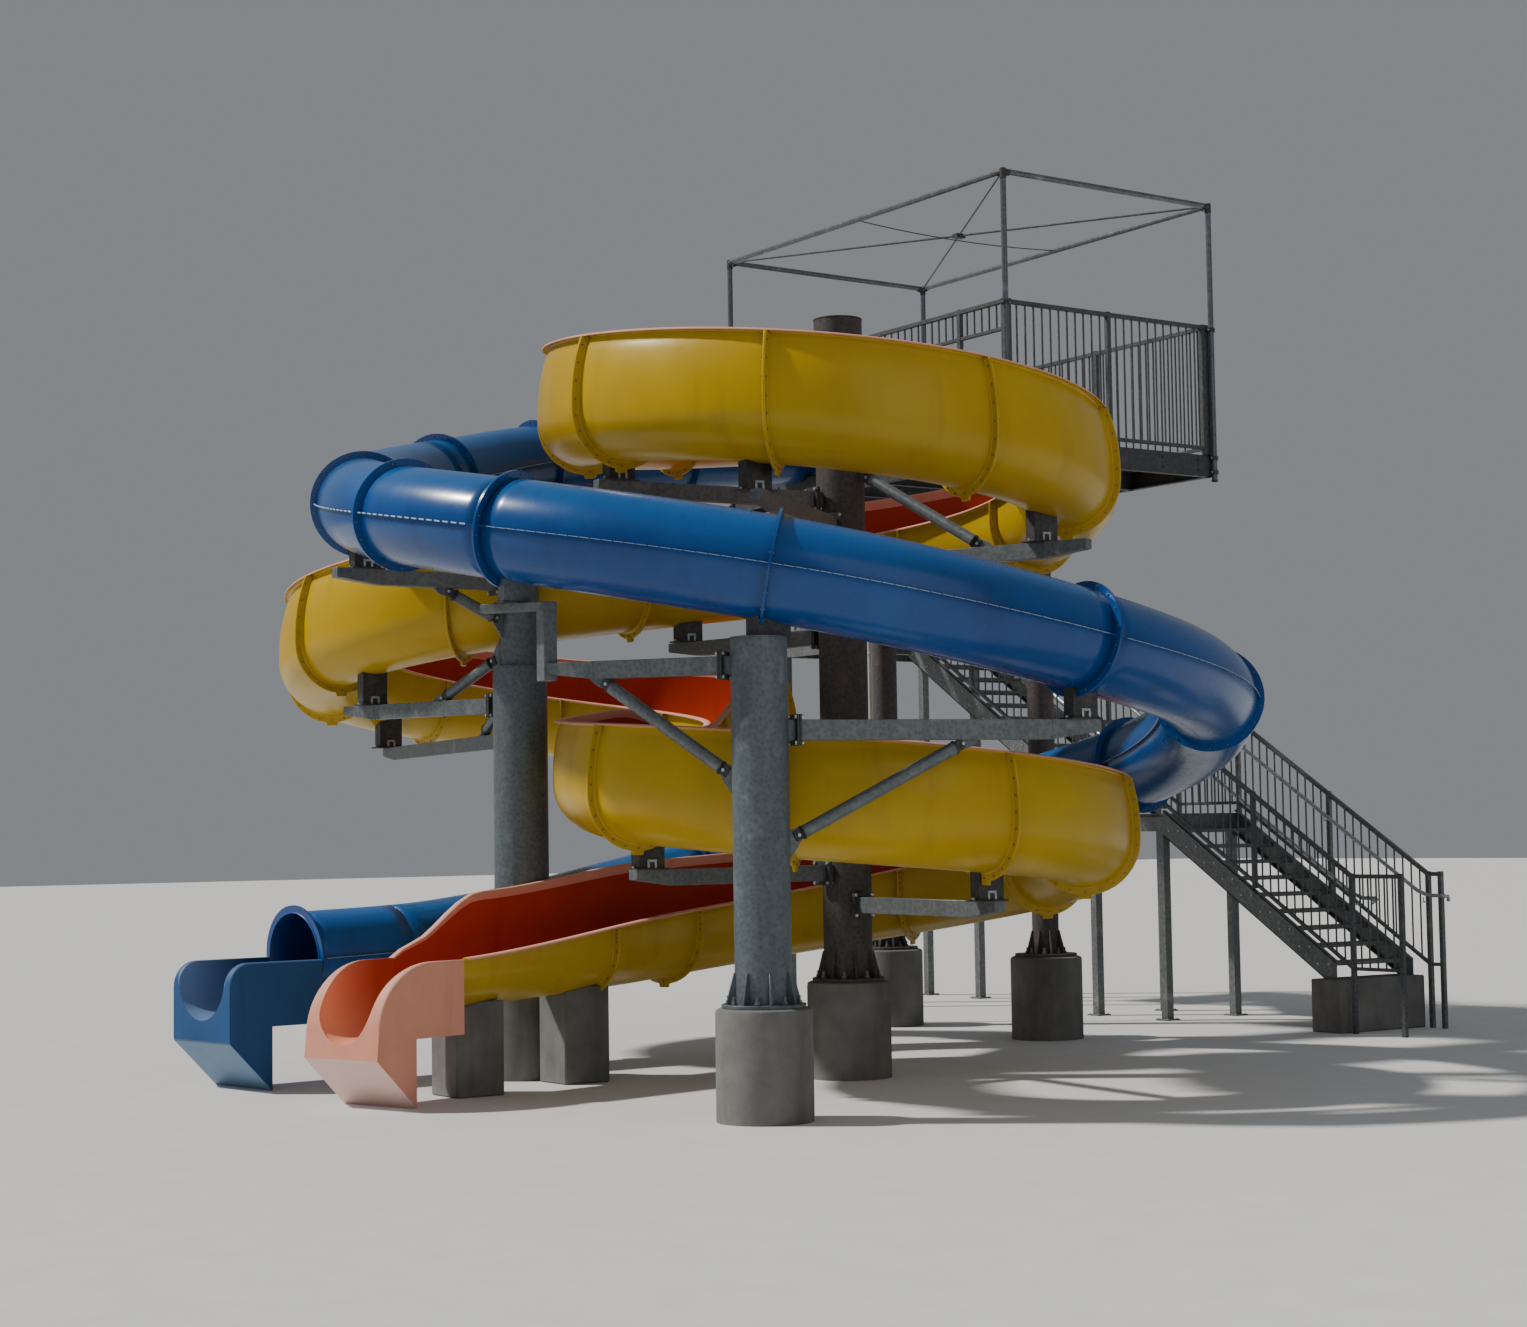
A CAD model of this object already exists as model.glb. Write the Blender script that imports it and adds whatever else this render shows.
# %% [markdown]
# This lesson dresses a water slide tower: a half-open yellow flume, a closed blue tube, the steel that
# carries both, a railed platform and its stair. The solids of the construction come in as a fixed frame
# in metres. Each step makes the fine surface of one kind of piece on top of that frame.

# %% Load the fixed frame
import math

import bmesh
import bpy
import numpy as np
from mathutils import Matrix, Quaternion, Vector


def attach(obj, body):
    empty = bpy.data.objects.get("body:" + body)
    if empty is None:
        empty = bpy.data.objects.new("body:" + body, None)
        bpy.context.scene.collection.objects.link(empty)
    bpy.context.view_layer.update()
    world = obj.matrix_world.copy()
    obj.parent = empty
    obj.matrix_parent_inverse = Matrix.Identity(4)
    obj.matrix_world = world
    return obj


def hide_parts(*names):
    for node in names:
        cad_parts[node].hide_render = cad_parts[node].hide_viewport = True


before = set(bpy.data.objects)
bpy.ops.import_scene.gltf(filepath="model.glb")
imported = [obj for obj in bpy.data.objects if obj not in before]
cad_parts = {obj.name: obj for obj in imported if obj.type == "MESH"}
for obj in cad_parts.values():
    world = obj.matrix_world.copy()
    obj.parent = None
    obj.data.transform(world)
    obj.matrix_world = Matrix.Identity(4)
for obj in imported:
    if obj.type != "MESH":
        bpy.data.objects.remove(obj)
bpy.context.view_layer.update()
UP, X_AXIS, Y_AXIS = Vector((0, 0, 1)), Vector((1, 0, 0)), Vector((0, 1, 0))
SQUARE = ((-1, -1), (1, -1), (1, 1), (-1, 1))
DECK = 0.56  # the level that heights count from, above the lowest edge of the slide
SEAT = 0.0003
print("nodes in the frame:", len(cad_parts))

# %% [markdown]
# The camera stands where the picture was taken: about 23 m away, at eye height, level with the lower
# loops. A pinhole camera is fixed by its place, its focal length and three angles. The lens is tilted up
# a little instead of shifted, because a shift would follow the camera into every other view.

# %% Camera
EYE = Vector((-14.03, -18.85, 1.615 + DECK))
PHOTO_WIDTH = 1527
FOCAL_PIXELS = 2600
HORIZON_BELOW_MIDDLE = 171.5
SENSOR = 36.0
ROLL = -0.015
level_ahead = Vector((0.572, 0.820, 0)).normalized()
pitch = math.atan(HORIZON_BELOW_MIDDLE / FOCAL_PIXELS)
ahead = level_ahead * math.cos(pitch) + UP * math.sin(pitch)

camera = bpy.data.objects.new("camera", bpy.data.cameras.new("camera"))
bpy.context.scene.collection.objects.link(camera)
camera.data.sensor_width = SENSOR
camera.data.lens = FOCAL_PIXELS / PHOTO_WIDTH * SENSOR
camera.rotation_mode = "QUATERNION"
camera.rotation_quaternion = ahead.to_track_quat("-Z", "Y") @ Quaternion((0, 0, 1), ROLL)
camera.location = EYE
bpy.context.scene.camera = camera
print("focal length:", round(camera.data.lens, 1), "mm")

# %% [markdown]
# A soft studio: a pale world for fill, a high sun from the left that shows how round the moulded shells
# are, and a large area light behind the camera. A plain floor catches the shadows.

# %% Light
world = bpy.data.worlds.new("studio")
bpy.context.scene.world = world
world.use_nodes = True
sky = world.node_tree.nodes["Background"]
sky.inputs["Color"].default_value = (0.86, 0.90, 0.96, 1)
sky.inputs["Strength"].default_value = 0.27
left = UP.cross(level_ahead)


def aimed_light(name, kind, toward, energy, size, place):
    light = bpy.data.lights.new(name, kind)
    light.energy = energy
    setattr(light, "angle" if kind == "SUN" else "size", size)
    holder = bpy.data.objects.new(name, light)
    bpy.context.scene.collection.objects.link(holder)
    holder.rotation_mode = "QUATERNION"
    holder.rotation_quaternion = toward.to_track_quat("-Z", "Y")
    holder.location = place
    return light


sun_from = left * 0.90 + level_ahead * 0.10 + UP * 0.95
fill_from = UP * 12 - level_ahead * 20 - left * 10
sun = aimed_light("key_sun", "SUN", -sun_from, 4.0, math.radians(3), UP * 20)
sun.color = (1.0, 0.97, 0.91)
aimed_light("fill", "AREA", -fill_from, 380, 14, fill_from)
print("lights:", len(bpy.data.lights))

# %% [markdown]
# Every surface gets a procedural finish that reads Object coordinates. The pieces stay at the origin, so
# one pattern runs on across the joints of the slide. Two functions and a small class keep the making
# of a node material short: noise for weathering, a colour ramp, a mix and a bump.

# %% Node and finish helpers
def fill(tree, node, values):
    """Sets inputs of a node: an output of another node is linked, anything else is the input's value."""
    for label, value in values.items():
        if isinstance(value, bpy.types.NodeSocket):
            tree.links.new(value, node.inputs[label])
        else:
            node.inputs[label].default_value = value
    return node


def put(tree, kind, values, **settings):
    node = tree.nodes.new(kind)
    for label, setting in settings.items():
        setattr(node, label, setting)
    return fill(tree, node, values)


class Finish:
    def __init__(self, name, roughness, metallic=0.0, coat=0.0):
        self.material = bpy.data.materials.new(name)
        self.material.use_nodes = True
        self.tree = self.material.node_tree
        self.surface({"Roughness": roughness, "Metallic": metallic, "Coat Weight": coat})
        self.where = self.node("TexCoord", {}).outputs["Object"]

    def node(self, kind, values, **settings):
        return put(self.tree, "ShaderNode" + kind, values, **settings)

    def surface(self, values):
        fill(self.tree, self.tree.nodes["Principled BSDF"], values)

    def noise(self, scale, stretch=(1, 1, 1), detail=5.0):
        where = self.node("Mapping", {"Vector": self.where, "Scale": stretch}).outputs["Vector"]
        values = {"Vector": where, "Scale": scale, "Detail": detail, "Roughness": 0.6}
        return self.node("TexNoise", values).outputs["Fac"]

    def facing(self, way):
        """1 on faces that look up, or down where way is -1."""
        normal = self.node("NewGeometry", {}).outputs["Normal"]
        height = self.node("SeparateXYZ", {"Vector": normal}).outputs["Z"]
        return self.node("Math", {0: height, 1: way}, operation="MULTIPLY").outputs["Value"]

    def ramp(self, value, low, high, first, last):
        node = self.node("ValToRGB", {"Fac": value})
        for stop, place, shade in zip(node.color_ramp.elements, (low, high), (first, last)):
            stop.position = place
            stop.color = (*shade, 1)
        return node.outputs["Color"]

    def mask(self, value, low, high, peak=1.0):
        return self.ramp(value, low, high, (0, 0, 0), (peak, peak, peak))

    def mix(self, factor, first, second):
        first, second = [(*shade, 1) if isinstance(shade, tuple) else shade for shade in (first, second)]
        return self.node("Mix", {"Factor": factor, 6: first, 7: second}, data_type="RGBA").outputs[2]

    def vary_roughness(self, value, low, high):
        spread = self.node("MapRange", {"Value": value, "To Min": low, "To Max": high})
        self.surface({"Roughness": spread.outputs["Result"]})

    def bump(self, value, strength, distance):
        bump = self.node("Bump", {"Height": value, "Strength": strength, "Distance": distance})
        self.surface({"Normal": bump.outputs["Normal"]})


# %% [markdown]
# Gelcoat is the pigmented skin of a glass fibre moulding. New, it shines. Years of sun chalk the faces
# that look up, and rain leaves faint streaks down the walls. So each gelcoat mixes its deep colour with
# a chalkier one by noise and by how far the face looks up, and stretches a second noise into streaks.

# %% Gelcoat finishes
def gelcoat(name, roughness, chalk_share, deep, light, chalk, streak, coat=0.12, belly=None):
    """belly is the paler colour of faces that look down, where there is one."""
    made = Finish(name, roughness, coat=coat)
    made.surface({"Coat Roughness": 0.18, "Specular IOR Level": 0.28})
    body = made.ramp(made.noise(0.7), 0.32, 0.68, deep, light)
    worn = made.mix(made.mask(made.facing(1), 0.15, 1.0, chalk_share), body, chalk)
    stained = made.mix(made.mask(made.noise(3.2, (1, 1, 0.16), 6.0), 0.56, 0.78, 0.55), worn, streak)
    if belly:
        stained = made.mix(made.mask(made.facing(-1), 0.25, 0.6, 0.8), stained, belly)
    specks = made.mask(made.noise(55.0, detail=2.0), 0.66, 0.74, 0.35)
    made.surface({"Base Color": made.mix(specks, stained, streak)})
    made.vary_roughness(made.noise(2.4), roughness * 0.75, roughness * 1.5)
    made.bump(made.noise(7.0, detail=3.0), 0.10, 0.010)
    return made.material


yellow_outside = gelcoat(
    "yellow_outside", 0.30, 0.35,
    (0.44, 0.27, 0.0006), (0.53, 0.345, 0.001), (0.64, 0.46, 0.03), (0.32, 0.18, 0.001),
)
orange_inside = gelcoat(
    "orange_inside", 0.38, 0.30,
    (0.40, 0.03, 0.006), (0.50, 0.05, 0.010), (0.56, 0.11, 0.04), (0.27, 0.02, 0.006),
)
salmon_rim = gelcoat(
    "salmon_rim", 0.55, 0.5,
    (0.68, 0.27, 0.18), (0.78, 0.36, 0.26), (0.82, 0.48, 0.38), (0.48, 0.20, 0.14), 0.0,
    belly=(0.86, 0.66, 0.62),
)
blue_shell = gelcoat(
    "blue_shell", 0.24, 0.5,
    (0.0004, 0.042, 0.19), (0.0008, 0.072, 0.28), (0.006, 0.15, 0.43), (0.0005, 0.026, 0.11), 0.3,
)
blue_faded = gelcoat(
    "blue_faded", 0.30, 0.5,
    (0.003, 0.072, 0.31), (0.006, 0.10, 0.40), (0.02, 0.17, 0.52), (0.002, 0.05, 0.22),
)
seam_sealant = gelcoat(
    "seam_sealant", 0.5, 0.5,
    (0.30, 0.40, 0.48), (0.46, 0.56, 0.62), (0.60, 0.66, 0.70), (0.14, 0.22, 0.32), 0.0,
)
blue_inside = gelcoat(
    "blue_inside", 0.4, 0.2,
    (0.002, 0.028, 0.13), (0.004, 0.045, 0.18), (0.01, 0.07, 0.24), (0.002, 0.018, 0.08),
)
pale_blue_shell = gelcoat(
    "pale_blue_shell", 0.5, 0.6,
    (0.01, 0.06, 0.19), (0.018, 0.09, 0.25), (0.07, 0.17, 0.35), (0.008, 0.042, 0.12), 0.0,
    belly=(0.22, 0.34, 0.48),
)


def bleached(name, deep, pale):
    """Colour that fades towards the mouth of an exit moulding, by the attribute that the mesh carries."""
    made = Finish(name, 0.5)
    fade = made.node("Attribute", {}, attribute_name="bleach").outputs["Fac"]
    body = made.mix(made.mask(fade, 0.15, 0.9), deep, pale)
    streaks = made.mask(made.noise(4.0, (1, 1, 0.3), 6.0), 0.55, 0.8, 0.4)
    made.surface({"Base Color": made.mix(streaks, body, tuple(0.6 * c for c in deep))})
    made.vary_roughness(made.noise(3.0), 0.4, 0.65)
    made.bump(made.noise(9.0), 0.08, 0.008)
    return made.material


orange_bleached = bleached("orange_bleached", (0.46, 0.050, 0.014), (0.86, 0.33, 0.19))
blue_bleached = bleached("blue_bleached", (0.003, 0.030, 0.13), (0.13, 0.22, 0.42))
print("finishes with the frame's own:", len(bpy.data.materials))

# %% [markdown]
# Hot-dip galvanised steel crystallises in patches a few centimetres wide, dulls to a blue-grey, and
# carries white bloom where water stands. A cell pattern gives the patches, a broad noise the bloom and
# a stretched one the runs. Rust browns the oldest column. The railings wear a darker, duller coat.

# %% Steel, concrete and plastic finishes
def galvanised(name, metallic, roughness, dark, light, bloom):
    made = Finish(name, roughness, metallic=metallic)
    cells = made.node("TexVoronoi", {"Vector": made.where, "Scale": 28.0}).outputs["Distance"]
    runs = made.mask(made.noise(5.0, (1, 1, 0.12), 6.0), 0.5, 0.75, 0.6)
    body = made.mix(runs, made.ramp(cells, 0.1, 0.75, dark, light), tuple(0.7 * c for c in dark))
    blooms = made.mask(made.noise(4.5, detail=8.0), 0.58, 0.78, 0.6)
    made.surface({"Base Color": made.mix(blooms, body, bloom)})
    made.vary_roughness(made.noise(12.0), roughness * 0.8, roughness * 1.35)
    made.bump(made.noise(60.0, detail=3.0), 0.12, 0.003)
    return made.material


STEEL_SHADES = {
    "column_steel": (0.30, 0.45, (0.072, 0.094, 0.108), (0.112, 0.140, 0.155), (0.28, 0.31, 0.32)),
    "weathered_steel": (0.25, 0.6, (0.048, 0.043, 0.044), (0.082, 0.072, 0.070), (0.17, 0.11, 0.08)),
    "arm_steel": (0.35, 0.42, (0.095, 0.112, 0.120), (0.150, 0.170, 0.180), (0.34, 0.36, 0.36)),
    "clamp_steel": (0.4, 0.5, (0.036, 0.037, 0.039), (0.066, 0.066, 0.068), (0.16, 0.13, 0.11)),
    "stair_steel": (0.4, 0.5, (0.100, 0.108, 0.112), (0.165, 0.175, 0.180), (0.40, 0.40, 0.39)),
    "rail_steel": (0.35, 0.5, (0.055, 0.060, 0.066), (0.095, 0.102, 0.110), (0.22, 0.22, 0.22)),
    "frame_steel": (0.3, 0.55, (0.040, 0.043, 0.048), (0.066, 0.070, 0.076), (0.15, 0.15, 0.15)),
    "canopy_steel": (0.35, 0.28, (0.085, 0.100, 0.115), (0.135, 0.155, 0.175), (0.36, 0.38, 0.40)),
    "bright_steel": (0.6, 0.32, (0.34, 0.38, 0.41), (0.50, 0.54, 0.57), (0.70, 0.72, 0.73)),
}
steels = {name: galvanised(name, *shades) for name, shades in STEEL_SHADES.items()}
column_steel, weathered_steel = steels["column_steel"], steels["weathered_steel"]
arm_steel, clamp_steel, bright_steel = steels["arm_steel"], steels["clamp_steel"], steels["bright_steel"]
stair_steel, rail_steel = steels["stair_steel"], steels["rail_steel"]
frame_steel, canopy_steel = steels["frame_steel"], steels["canopy_steel"]


def mineral(name, roughness, dark, light, stain):
    made = Finish(name, roughness)
    body = made.ramp(made.noise(3.0, detail=8.0), 0.3, 0.7, dark, light)
    stains = made.mask(made.noise(2.2, (1, 1, 0.2), 7.0), 0.48, 0.75, 0.7)
    made.surface({"Base Color": made.mix(stains, body, stain)})
    made.bump(made.noise(45.0, detail=8.0), 0.35, 0.004)
    return made.material


concrete = mineral("concrete", 0.9, (0.125, 0.124, 0.118), (0.205, 0.200, 0.190), (0.058, 0.056, 0.052))
white_plastic = mineral("white_plastic", 0.45, (0.62, 0.62, 0.59), (0.72, 0.72, 0.70), (0.45, 0.44, 0.4))
floor_finish = mineral("floor_finish", 0.8, (0.66, 0.66, 0.65), (0.70, 0.70, 0.69), (0.64, 0.64, 0.63))

# %% Floor
HALF_FLOOR = 120
floor_mesh = bpy.data.meshes.new("floor")
floor_mesh.from_pydata([(x * HALF_FLOOR, y * HALF_FLOOR, -0.001) for x, y in SQUARE], [], [(0, 1, 2, 3)])
floor_mesh.materials.append(floor_finish)
floor = bpy.data.objects.new("floor", floor_mesh)
bpy.context.scene.collection.objects.link(floor)

# %% [markdown]
# Most pieces are made of a few closed shapes: a bar, a pipe, a plate, a lofted skin. This class collects
# them, turns all their faces outwards at the end and marks sharp edges, so that one piece becomes one
# plain mesh at the origin. A live bevel then breaks the edges, which catches the light.

# %% Piece helper
def on_deck(x, y, z):
    return Vector((x, y, z + DECK))


def directions(start, end):
    along = (end - start).normalized()
    side = X_AXIS if abs(along.z) > 0.999 else along.cross(UP).normalized()
    return along, side, side.cross(along)


def smooth(mesh, sharp):
    mesh.shade_smooth()
    mesh.set_sharp_from_angle(angle=math.radians(sharp))


def arrive(obj, nodes=()):
    """Lets a finished piece ride on the tower and hides the nodes that it stands for."""
    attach(obj, "root")
    if nodes:
        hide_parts(*nodes)
    print(obj.name + ":", sum(len(face.vertices) - 2 for face in obj.data.polygons), "triangles")
    return obj


class Piece:
    def __init__(self):
        self.points, self.faces, self.slots = [], [], []

    def loft(self, rings, slot=0, side_slots=None, caps=True):
        base, count, steps = len(self.points), len(rings[0]), len(rings) - 1
        self.points += [p for ring in rings for p in ring]
        for r in range(steps):
            for i in range(count):
                near, far = base + r * count, base + (r + 1) * count
                j = (i + 1) % count
                self.faces.append([near + i, near + j, far + j, far + i])
        self.slots += (side_slots or [slot] * count) * steps
        if caps:
            last = base + steps * count
            self.faces += [list(range(base, base + count))[::-1], list(range(last, last + count))]
            self.slots += [slot, slot]

    def prism(self, outline, origin, across, rise, through, slot=0):
        """A flat outline in (across, rise), pushed along the vector through."""
        near = [origin + across * a + rise * b for a, b in outline]
        self.loft([near, [p + through for p in near]], slot)

    def bar(self, start, end, width, depth, slot=0):
        _, side, over = directions(start, end)
        corners = [side * (a * width / 2) + over * (b * depth / 2) for a, b in SQUARE]
        self.loft([[p + c for c in corners] for p in (start, end)], slot)

    def block(self, low, high):
        middle, size = (low + high) / 2, high - low
        foot, head = [Vector((middle.x, middle.y, z)) for z in (low.z, high.z)]
        self.bar(foot, head, size.x, size.y)

    def pipe(self, points, radius, sides=16, slot=0):
        """A round bar through some points, of one radius or of a radius for each point."""
        radii = radius if isinstance(radius, list) else [radius] * len(points)
        turn = [2 * math.pi * k / sides for k in range(sides)]
        rings = []
        for i, (point, r) in enumerate(zip(points, radii)):
            _, side, over = directions(points[max(i - 1, 0)], points[min(i + 1, len(points) - 1)])
            rings.append([point + side * (r * math.cos(t)) + over * (r * math.sin(t)) for t in turn])
        self.loft(rings, slot)

    def upright(self, x, y, heights, radius, sides, slot=0):
        self.pipe([on_deck(x, y, z) for z in heights], radius, sides, slot)

    def channel(self, start, end, inward, depth, flange, web=0.010, thick=0.014):
        """A channel beam whose web's outer top edge runs from start to end."""
        down = inward.cross(directions(start, end)[0]).normalized()
        down = down if down.z < 0 else -down
        section = [(0, 0), (flange, 0), (flange, thick), (web, thick)]
        section += [(a, depth - b) for a, b in reversed(section)]
        self.loft([[p + inward * a + down * b for a, b in section] for p in (start, end)])

    def deliver(self, name, materials, slot, nodes=(), bevel=0.0, sharp=35.0, segments=1):
        mesh = bpy.data.meshes.new(name)
        mesh.from_pydata([tuple(p) for p in self.points], [], self.faces)
        for material in materials:
            mesh.materials.append(material)
        mesh.polygons.foreach_set("material_index", self.slots)
        turn_outwards(mesh)
        smooth(mesh, sharp)
        obj = bpy.data.objects.new(name, mesh)
        bpy.context.scene.collection.objects.link(obj)
        if bevel:
            rounding = obj.modifiers.new("broken_edges", "BEVEL")
            rounding.width = bevel
            rounding.segments = segments
            rounding.limit_method = "ANGLE"
            rounding.angle_limit = math.radians(40)
            rounding.harden_normals = False
        return arrive(obj, nodes)


def turn_outwards(mesh, weld=0.0):
    work = bmesh.new()
    work.from_mesh(mesh)
    if weld:
        bmesh.ops.remove_doubles(work, verts=work.verts, dist=weld)
    bmesh.ops.recalc_face_normals(work, faces=work.faces)
    work.to_mesh(mesh)
    work.free()


# %% [markdown]
# What repeats is grown by Geometry Nodes. A builder tree takes bare points that carry a direction or a
# length as attributes, and stands one small shape on each: a bolt head that looks along its point's aim,
# an upright bar that has its point's length, a flange ring. A fourth tree sweeps a round skin.

# %% Geometry Nodes helpers
def start_tree(name, *numbers):
    tree = bpy.data.node_groups.new(name, "GeometryNodeTree")
    tree.interface.new_socket("Geometry", in_out="OUTPUT", socket_type="NodeSocketGeometry")
    kinds = {"Geometry": "Geometry", "Sides": "Int", "Finish": "Material"}
    kinds |= {label: "Float" for label in numbers}
    for label, kind in kinds.items():
        tree.interface.new_socket(label, in_out="INPUT", socket_type="NodeSocket" + kind)
    return tree, tree.nodes.new("NodeGroupInput").outputs


def end_tree(tree, entry, geometry):
    real = put(tree, "GeometryNodeRealizeInstances", {"Geometry": geometry}).outputs["Geometry"]
    paint = put(tree, "GeometryNodeSetMaterial", {"Geometry": real, "Material": entry["Finish"]})
    put(tree, "NodeGroupOutput", {"Geometry": paint.outputs["Geometry"]})


def stand_on_points(tree, entry, shape, how):
    values = {"Points": entry["Geometry"], "Instance": shape, **how}
    end_tree(tree, entry, put(tree, "GeometryNodeInstanceOnPoints", values).outputs["Instances"])


def named(tree, name, kind):
    return put(tree, "GeometryNodeInputNamedAttribute", {"Name": name}, data_type=kind).outputs["Attribute"]


def looking_along_aim(tree):
    aim = named(tree, "aim", "FLOAT_VECTOR")
    turn = put(tree, "FunctionNodeAlignRotationToVector", {"Vector": aim}, axis="Z")
    return {"Rotation": turn.outputs["Rotation"]}


def circle_in(tree, entry):
    values = {"Resolution": entry["Sides"], "Radius": entry["Radius"]}
    return put(tree, "GeometryNodeCurvePrimitiveCircle", values).outputs["Curve"]


def swept(tree, path, profile):
    return put(tree, "GeometryNodeCurveToMesh", {"Curve": path, "Profile Curve": profile}).outputs["Mesh"]


def grow(name, tree, points, values, edges=(), **attributes):
    """Runs a tree on points with attributes and keeps the result as a plain mesh."""
    mesh = bpy.data.meshes.new(name + "_seed")
    mesh.from_pydata([tuple(p) for p in points], edges, [])
    for label, numbers in attributes.items():
        numbers = np.array(numbers, float)
        kind, key = ("FLOAT", "value") if numbers.ndim == 1 else ("FLOAT_VECTOR", "vector")
        mesh.attributes.new(label, kind, "POINT").data.foreach_set(key, numbers.ravel())
    seed = bpy.data.objects.new(name + "_seed", mesh)
    modifier = seed.modifiers.new("grow", "NODES")
    modifier.node_group = tree
    for item in tree.interface.items_tree:
        if item.in_out == "INPUT" and item.name in values:
            modifier[item.identifier] = values[item.name]
    bpy.context.scene.collection.objects.link(seed)
    graph = bpy.context.evaluated_depsgraph_get()
    grown = bpy.data.meshes.new_from_object(seed.evaluated_get(graph), depsgraph=graph)
    seed.modifiers.remove(modifier)
    bpy.data.objects.remove(seed)
    grown.name = name
    obj = bpy.data.objects.new(name, grown)
    bpy.context.scene.collection.objects.link(obj)
    return obj


# %% Trees for studs, bars, rings and skins
stud_tree, entry = start_tree("studs_on_points", "Radius", "Height")
values = {"Vertices": entry["Sides"], "Radius": entry["Radius"], "Depth": entry["Height"]}
stud = put(stud_tree, "GeometryNodeMeshCylinder", values).outputs["Mesh"]
stand_on_points(stud_tree, entry, stud, looking_along_aim(stud_tree))

bar_tree, entry = start_tree("bars_on_points", "Thickness")
values = {"Vertices": entry["Sides"], "Radius": 0.5, "Depth": 1.0}
upright = put(bar_tree, "GeometryNodeMeshCylinder", values).outputs["Mesh"]
values = {"X": entry["Thickness"], "Y": entry["Thickness"], "Z": named(bar_tree, "tall", "FLOAT")}
size = put(bar_tree, "ShaderNodeCombineXYZ", values).outputs["Vector"]
stand_on_points(bar_tree, entry, upright, {"Scale": size})

ring_tree, entry = start_tree("rings_on_points", "Radius", "Width", "Thickness")
values = {"Width": entry["Width"], "Height": entry["Thickness"]}
flat = put(ring_tree, "GeometryNodeCurvePrimitiveQuadrilateral", values).outputs["Curve"]
rim = swept(ring_tree, circle_in(ring_tree, entry), flat)
stand_on_points(ring_tree, entry, rim, looking_along_aim(ring_tree))

skin_tree, entry = start_tree("skin_along_path", "Radius")
path = put(skin_tree, "GeometryNodeMeshToCurve", {"Mesh": entry["Geometry"]}).outputs["Curve"]
end_tree(skin_tree, entry, swept(skin_tree, path, circle_in(skin_tree, entry)))


def studs(name, spots, diameter, height, sides, material):
    """Bolt heads or buttons, one for each (point, aim)."""
    points = [point + aim.normalized() * (height / 2) for point, aim in spots]
    values = {"Radius": diameter / 2, "Height": height, "Sides": sides, "Finish": material}
    return arrive(grow(name, stud_tree, points, values, aim=[aim for _, aim in spots]))


def skin_along(name, points, radius, sides, material):
    values = {"Radius": radius, "Sides": sides, "Finish": material}
    obj = grow(name, skin_tree, points, values, [(i, i + 1) for i in range(len(points) - 1)])
    obj.data.shade_smooth()
    return obj


print("trees:", len(bpy.data.node_groups))

# %% [markdown]
# Both slides follow a route seen from above: straight runs and turns of a fixed radius. A second curve,
# through a few stations, gives the height along that route. A slide needs even slopes, so the heights
# pass smoothly through their stations.

# %% Routes
def make_route(x, y, heading, legs):
    """legs lists (run, 0, 0) for a straight and (0, degrees, radius) for a turn."""
    stretches, begin = [], 0.0
    for run, turn_degrees, radius in legs:
        turning = (turn_degrees > 0) - (turn_degrees < 0)
        stretches.append((begin, x, y, heading, turning, radius))
        begin += math.radians(abs(turn_degrees)) * radius if turning else run
        x, y, heading = point_on(stretches[-1], begin)
    return stretches


def point_on(stretch, distance):
    begin, x, y, heading, turning, radius = stretch
    gone = distance - begin
    if not turning:
        return x + gone * math.cos(heading), y + gone * math.sin(heading), heading
    end = heading + turning * gone / radius
    side = turning * radius
    return x - side * (math.sin(heading) - math.sin(end)), y + side * (math.cos(heading) - math.cos(end)), end


def place_on(route, distance):
    return point_on([s for s in route if s[0] <= max(distance, 0.0)][-1], distance)


def level_frame(route, distance, height=0.0):
    """A point over a route, the way on and the way to the right, both level."""
    x, y, heading = place_on(route, distance)
    along = Vector((math.cos(heading), math.sin(heading), 0))
    return on_deck(x, y, height), along, along.cross(UP)


def through(stations, slopes):
    """A curve through (distance, value) stations with a slope at each, straight beyond its ends."""
    last = len(stations) - 1

    def value(distance):
        for end, beyond in ((0, distance <= stations[0][0]), (last, distance >= stations[last][0])):
            if beyond:
                return stations[end][1] + slopes[end] * (distance - stations[end][0])
        i = max(k for k in range(last) if stations[k][0] <= distance)
        (near, low), (far, high) = stations[i:i + 2]
        t = (distance - near) / (far - near)
        rise = t * t * (3 - 2 * t)
        bend = t * (1 - t) ** 2 * slopes[i] + t * t * (t - 1) * slopes[i + 1]
        return low * (1 - rise) + high * rise + bend * (far - near)

    return value


def smooth_through(stations):
    padded = [stations[0], *stations, stations[-1]]
    return through(stations, [(b[1] - a[1]) / (b[0] - a[0]) for a, b in zip(padded, padded[2:])])


def eased_through(stations):
    """A curve that rests at each station and stays level beyond its ends."""
    return through(stations, [0.0] * len(stations))


def steps_between(start, end, step):
    count = max(1, round((end - start) / step))
    return [start + (end - start) * i / count for i in range(count + 1)]


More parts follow.
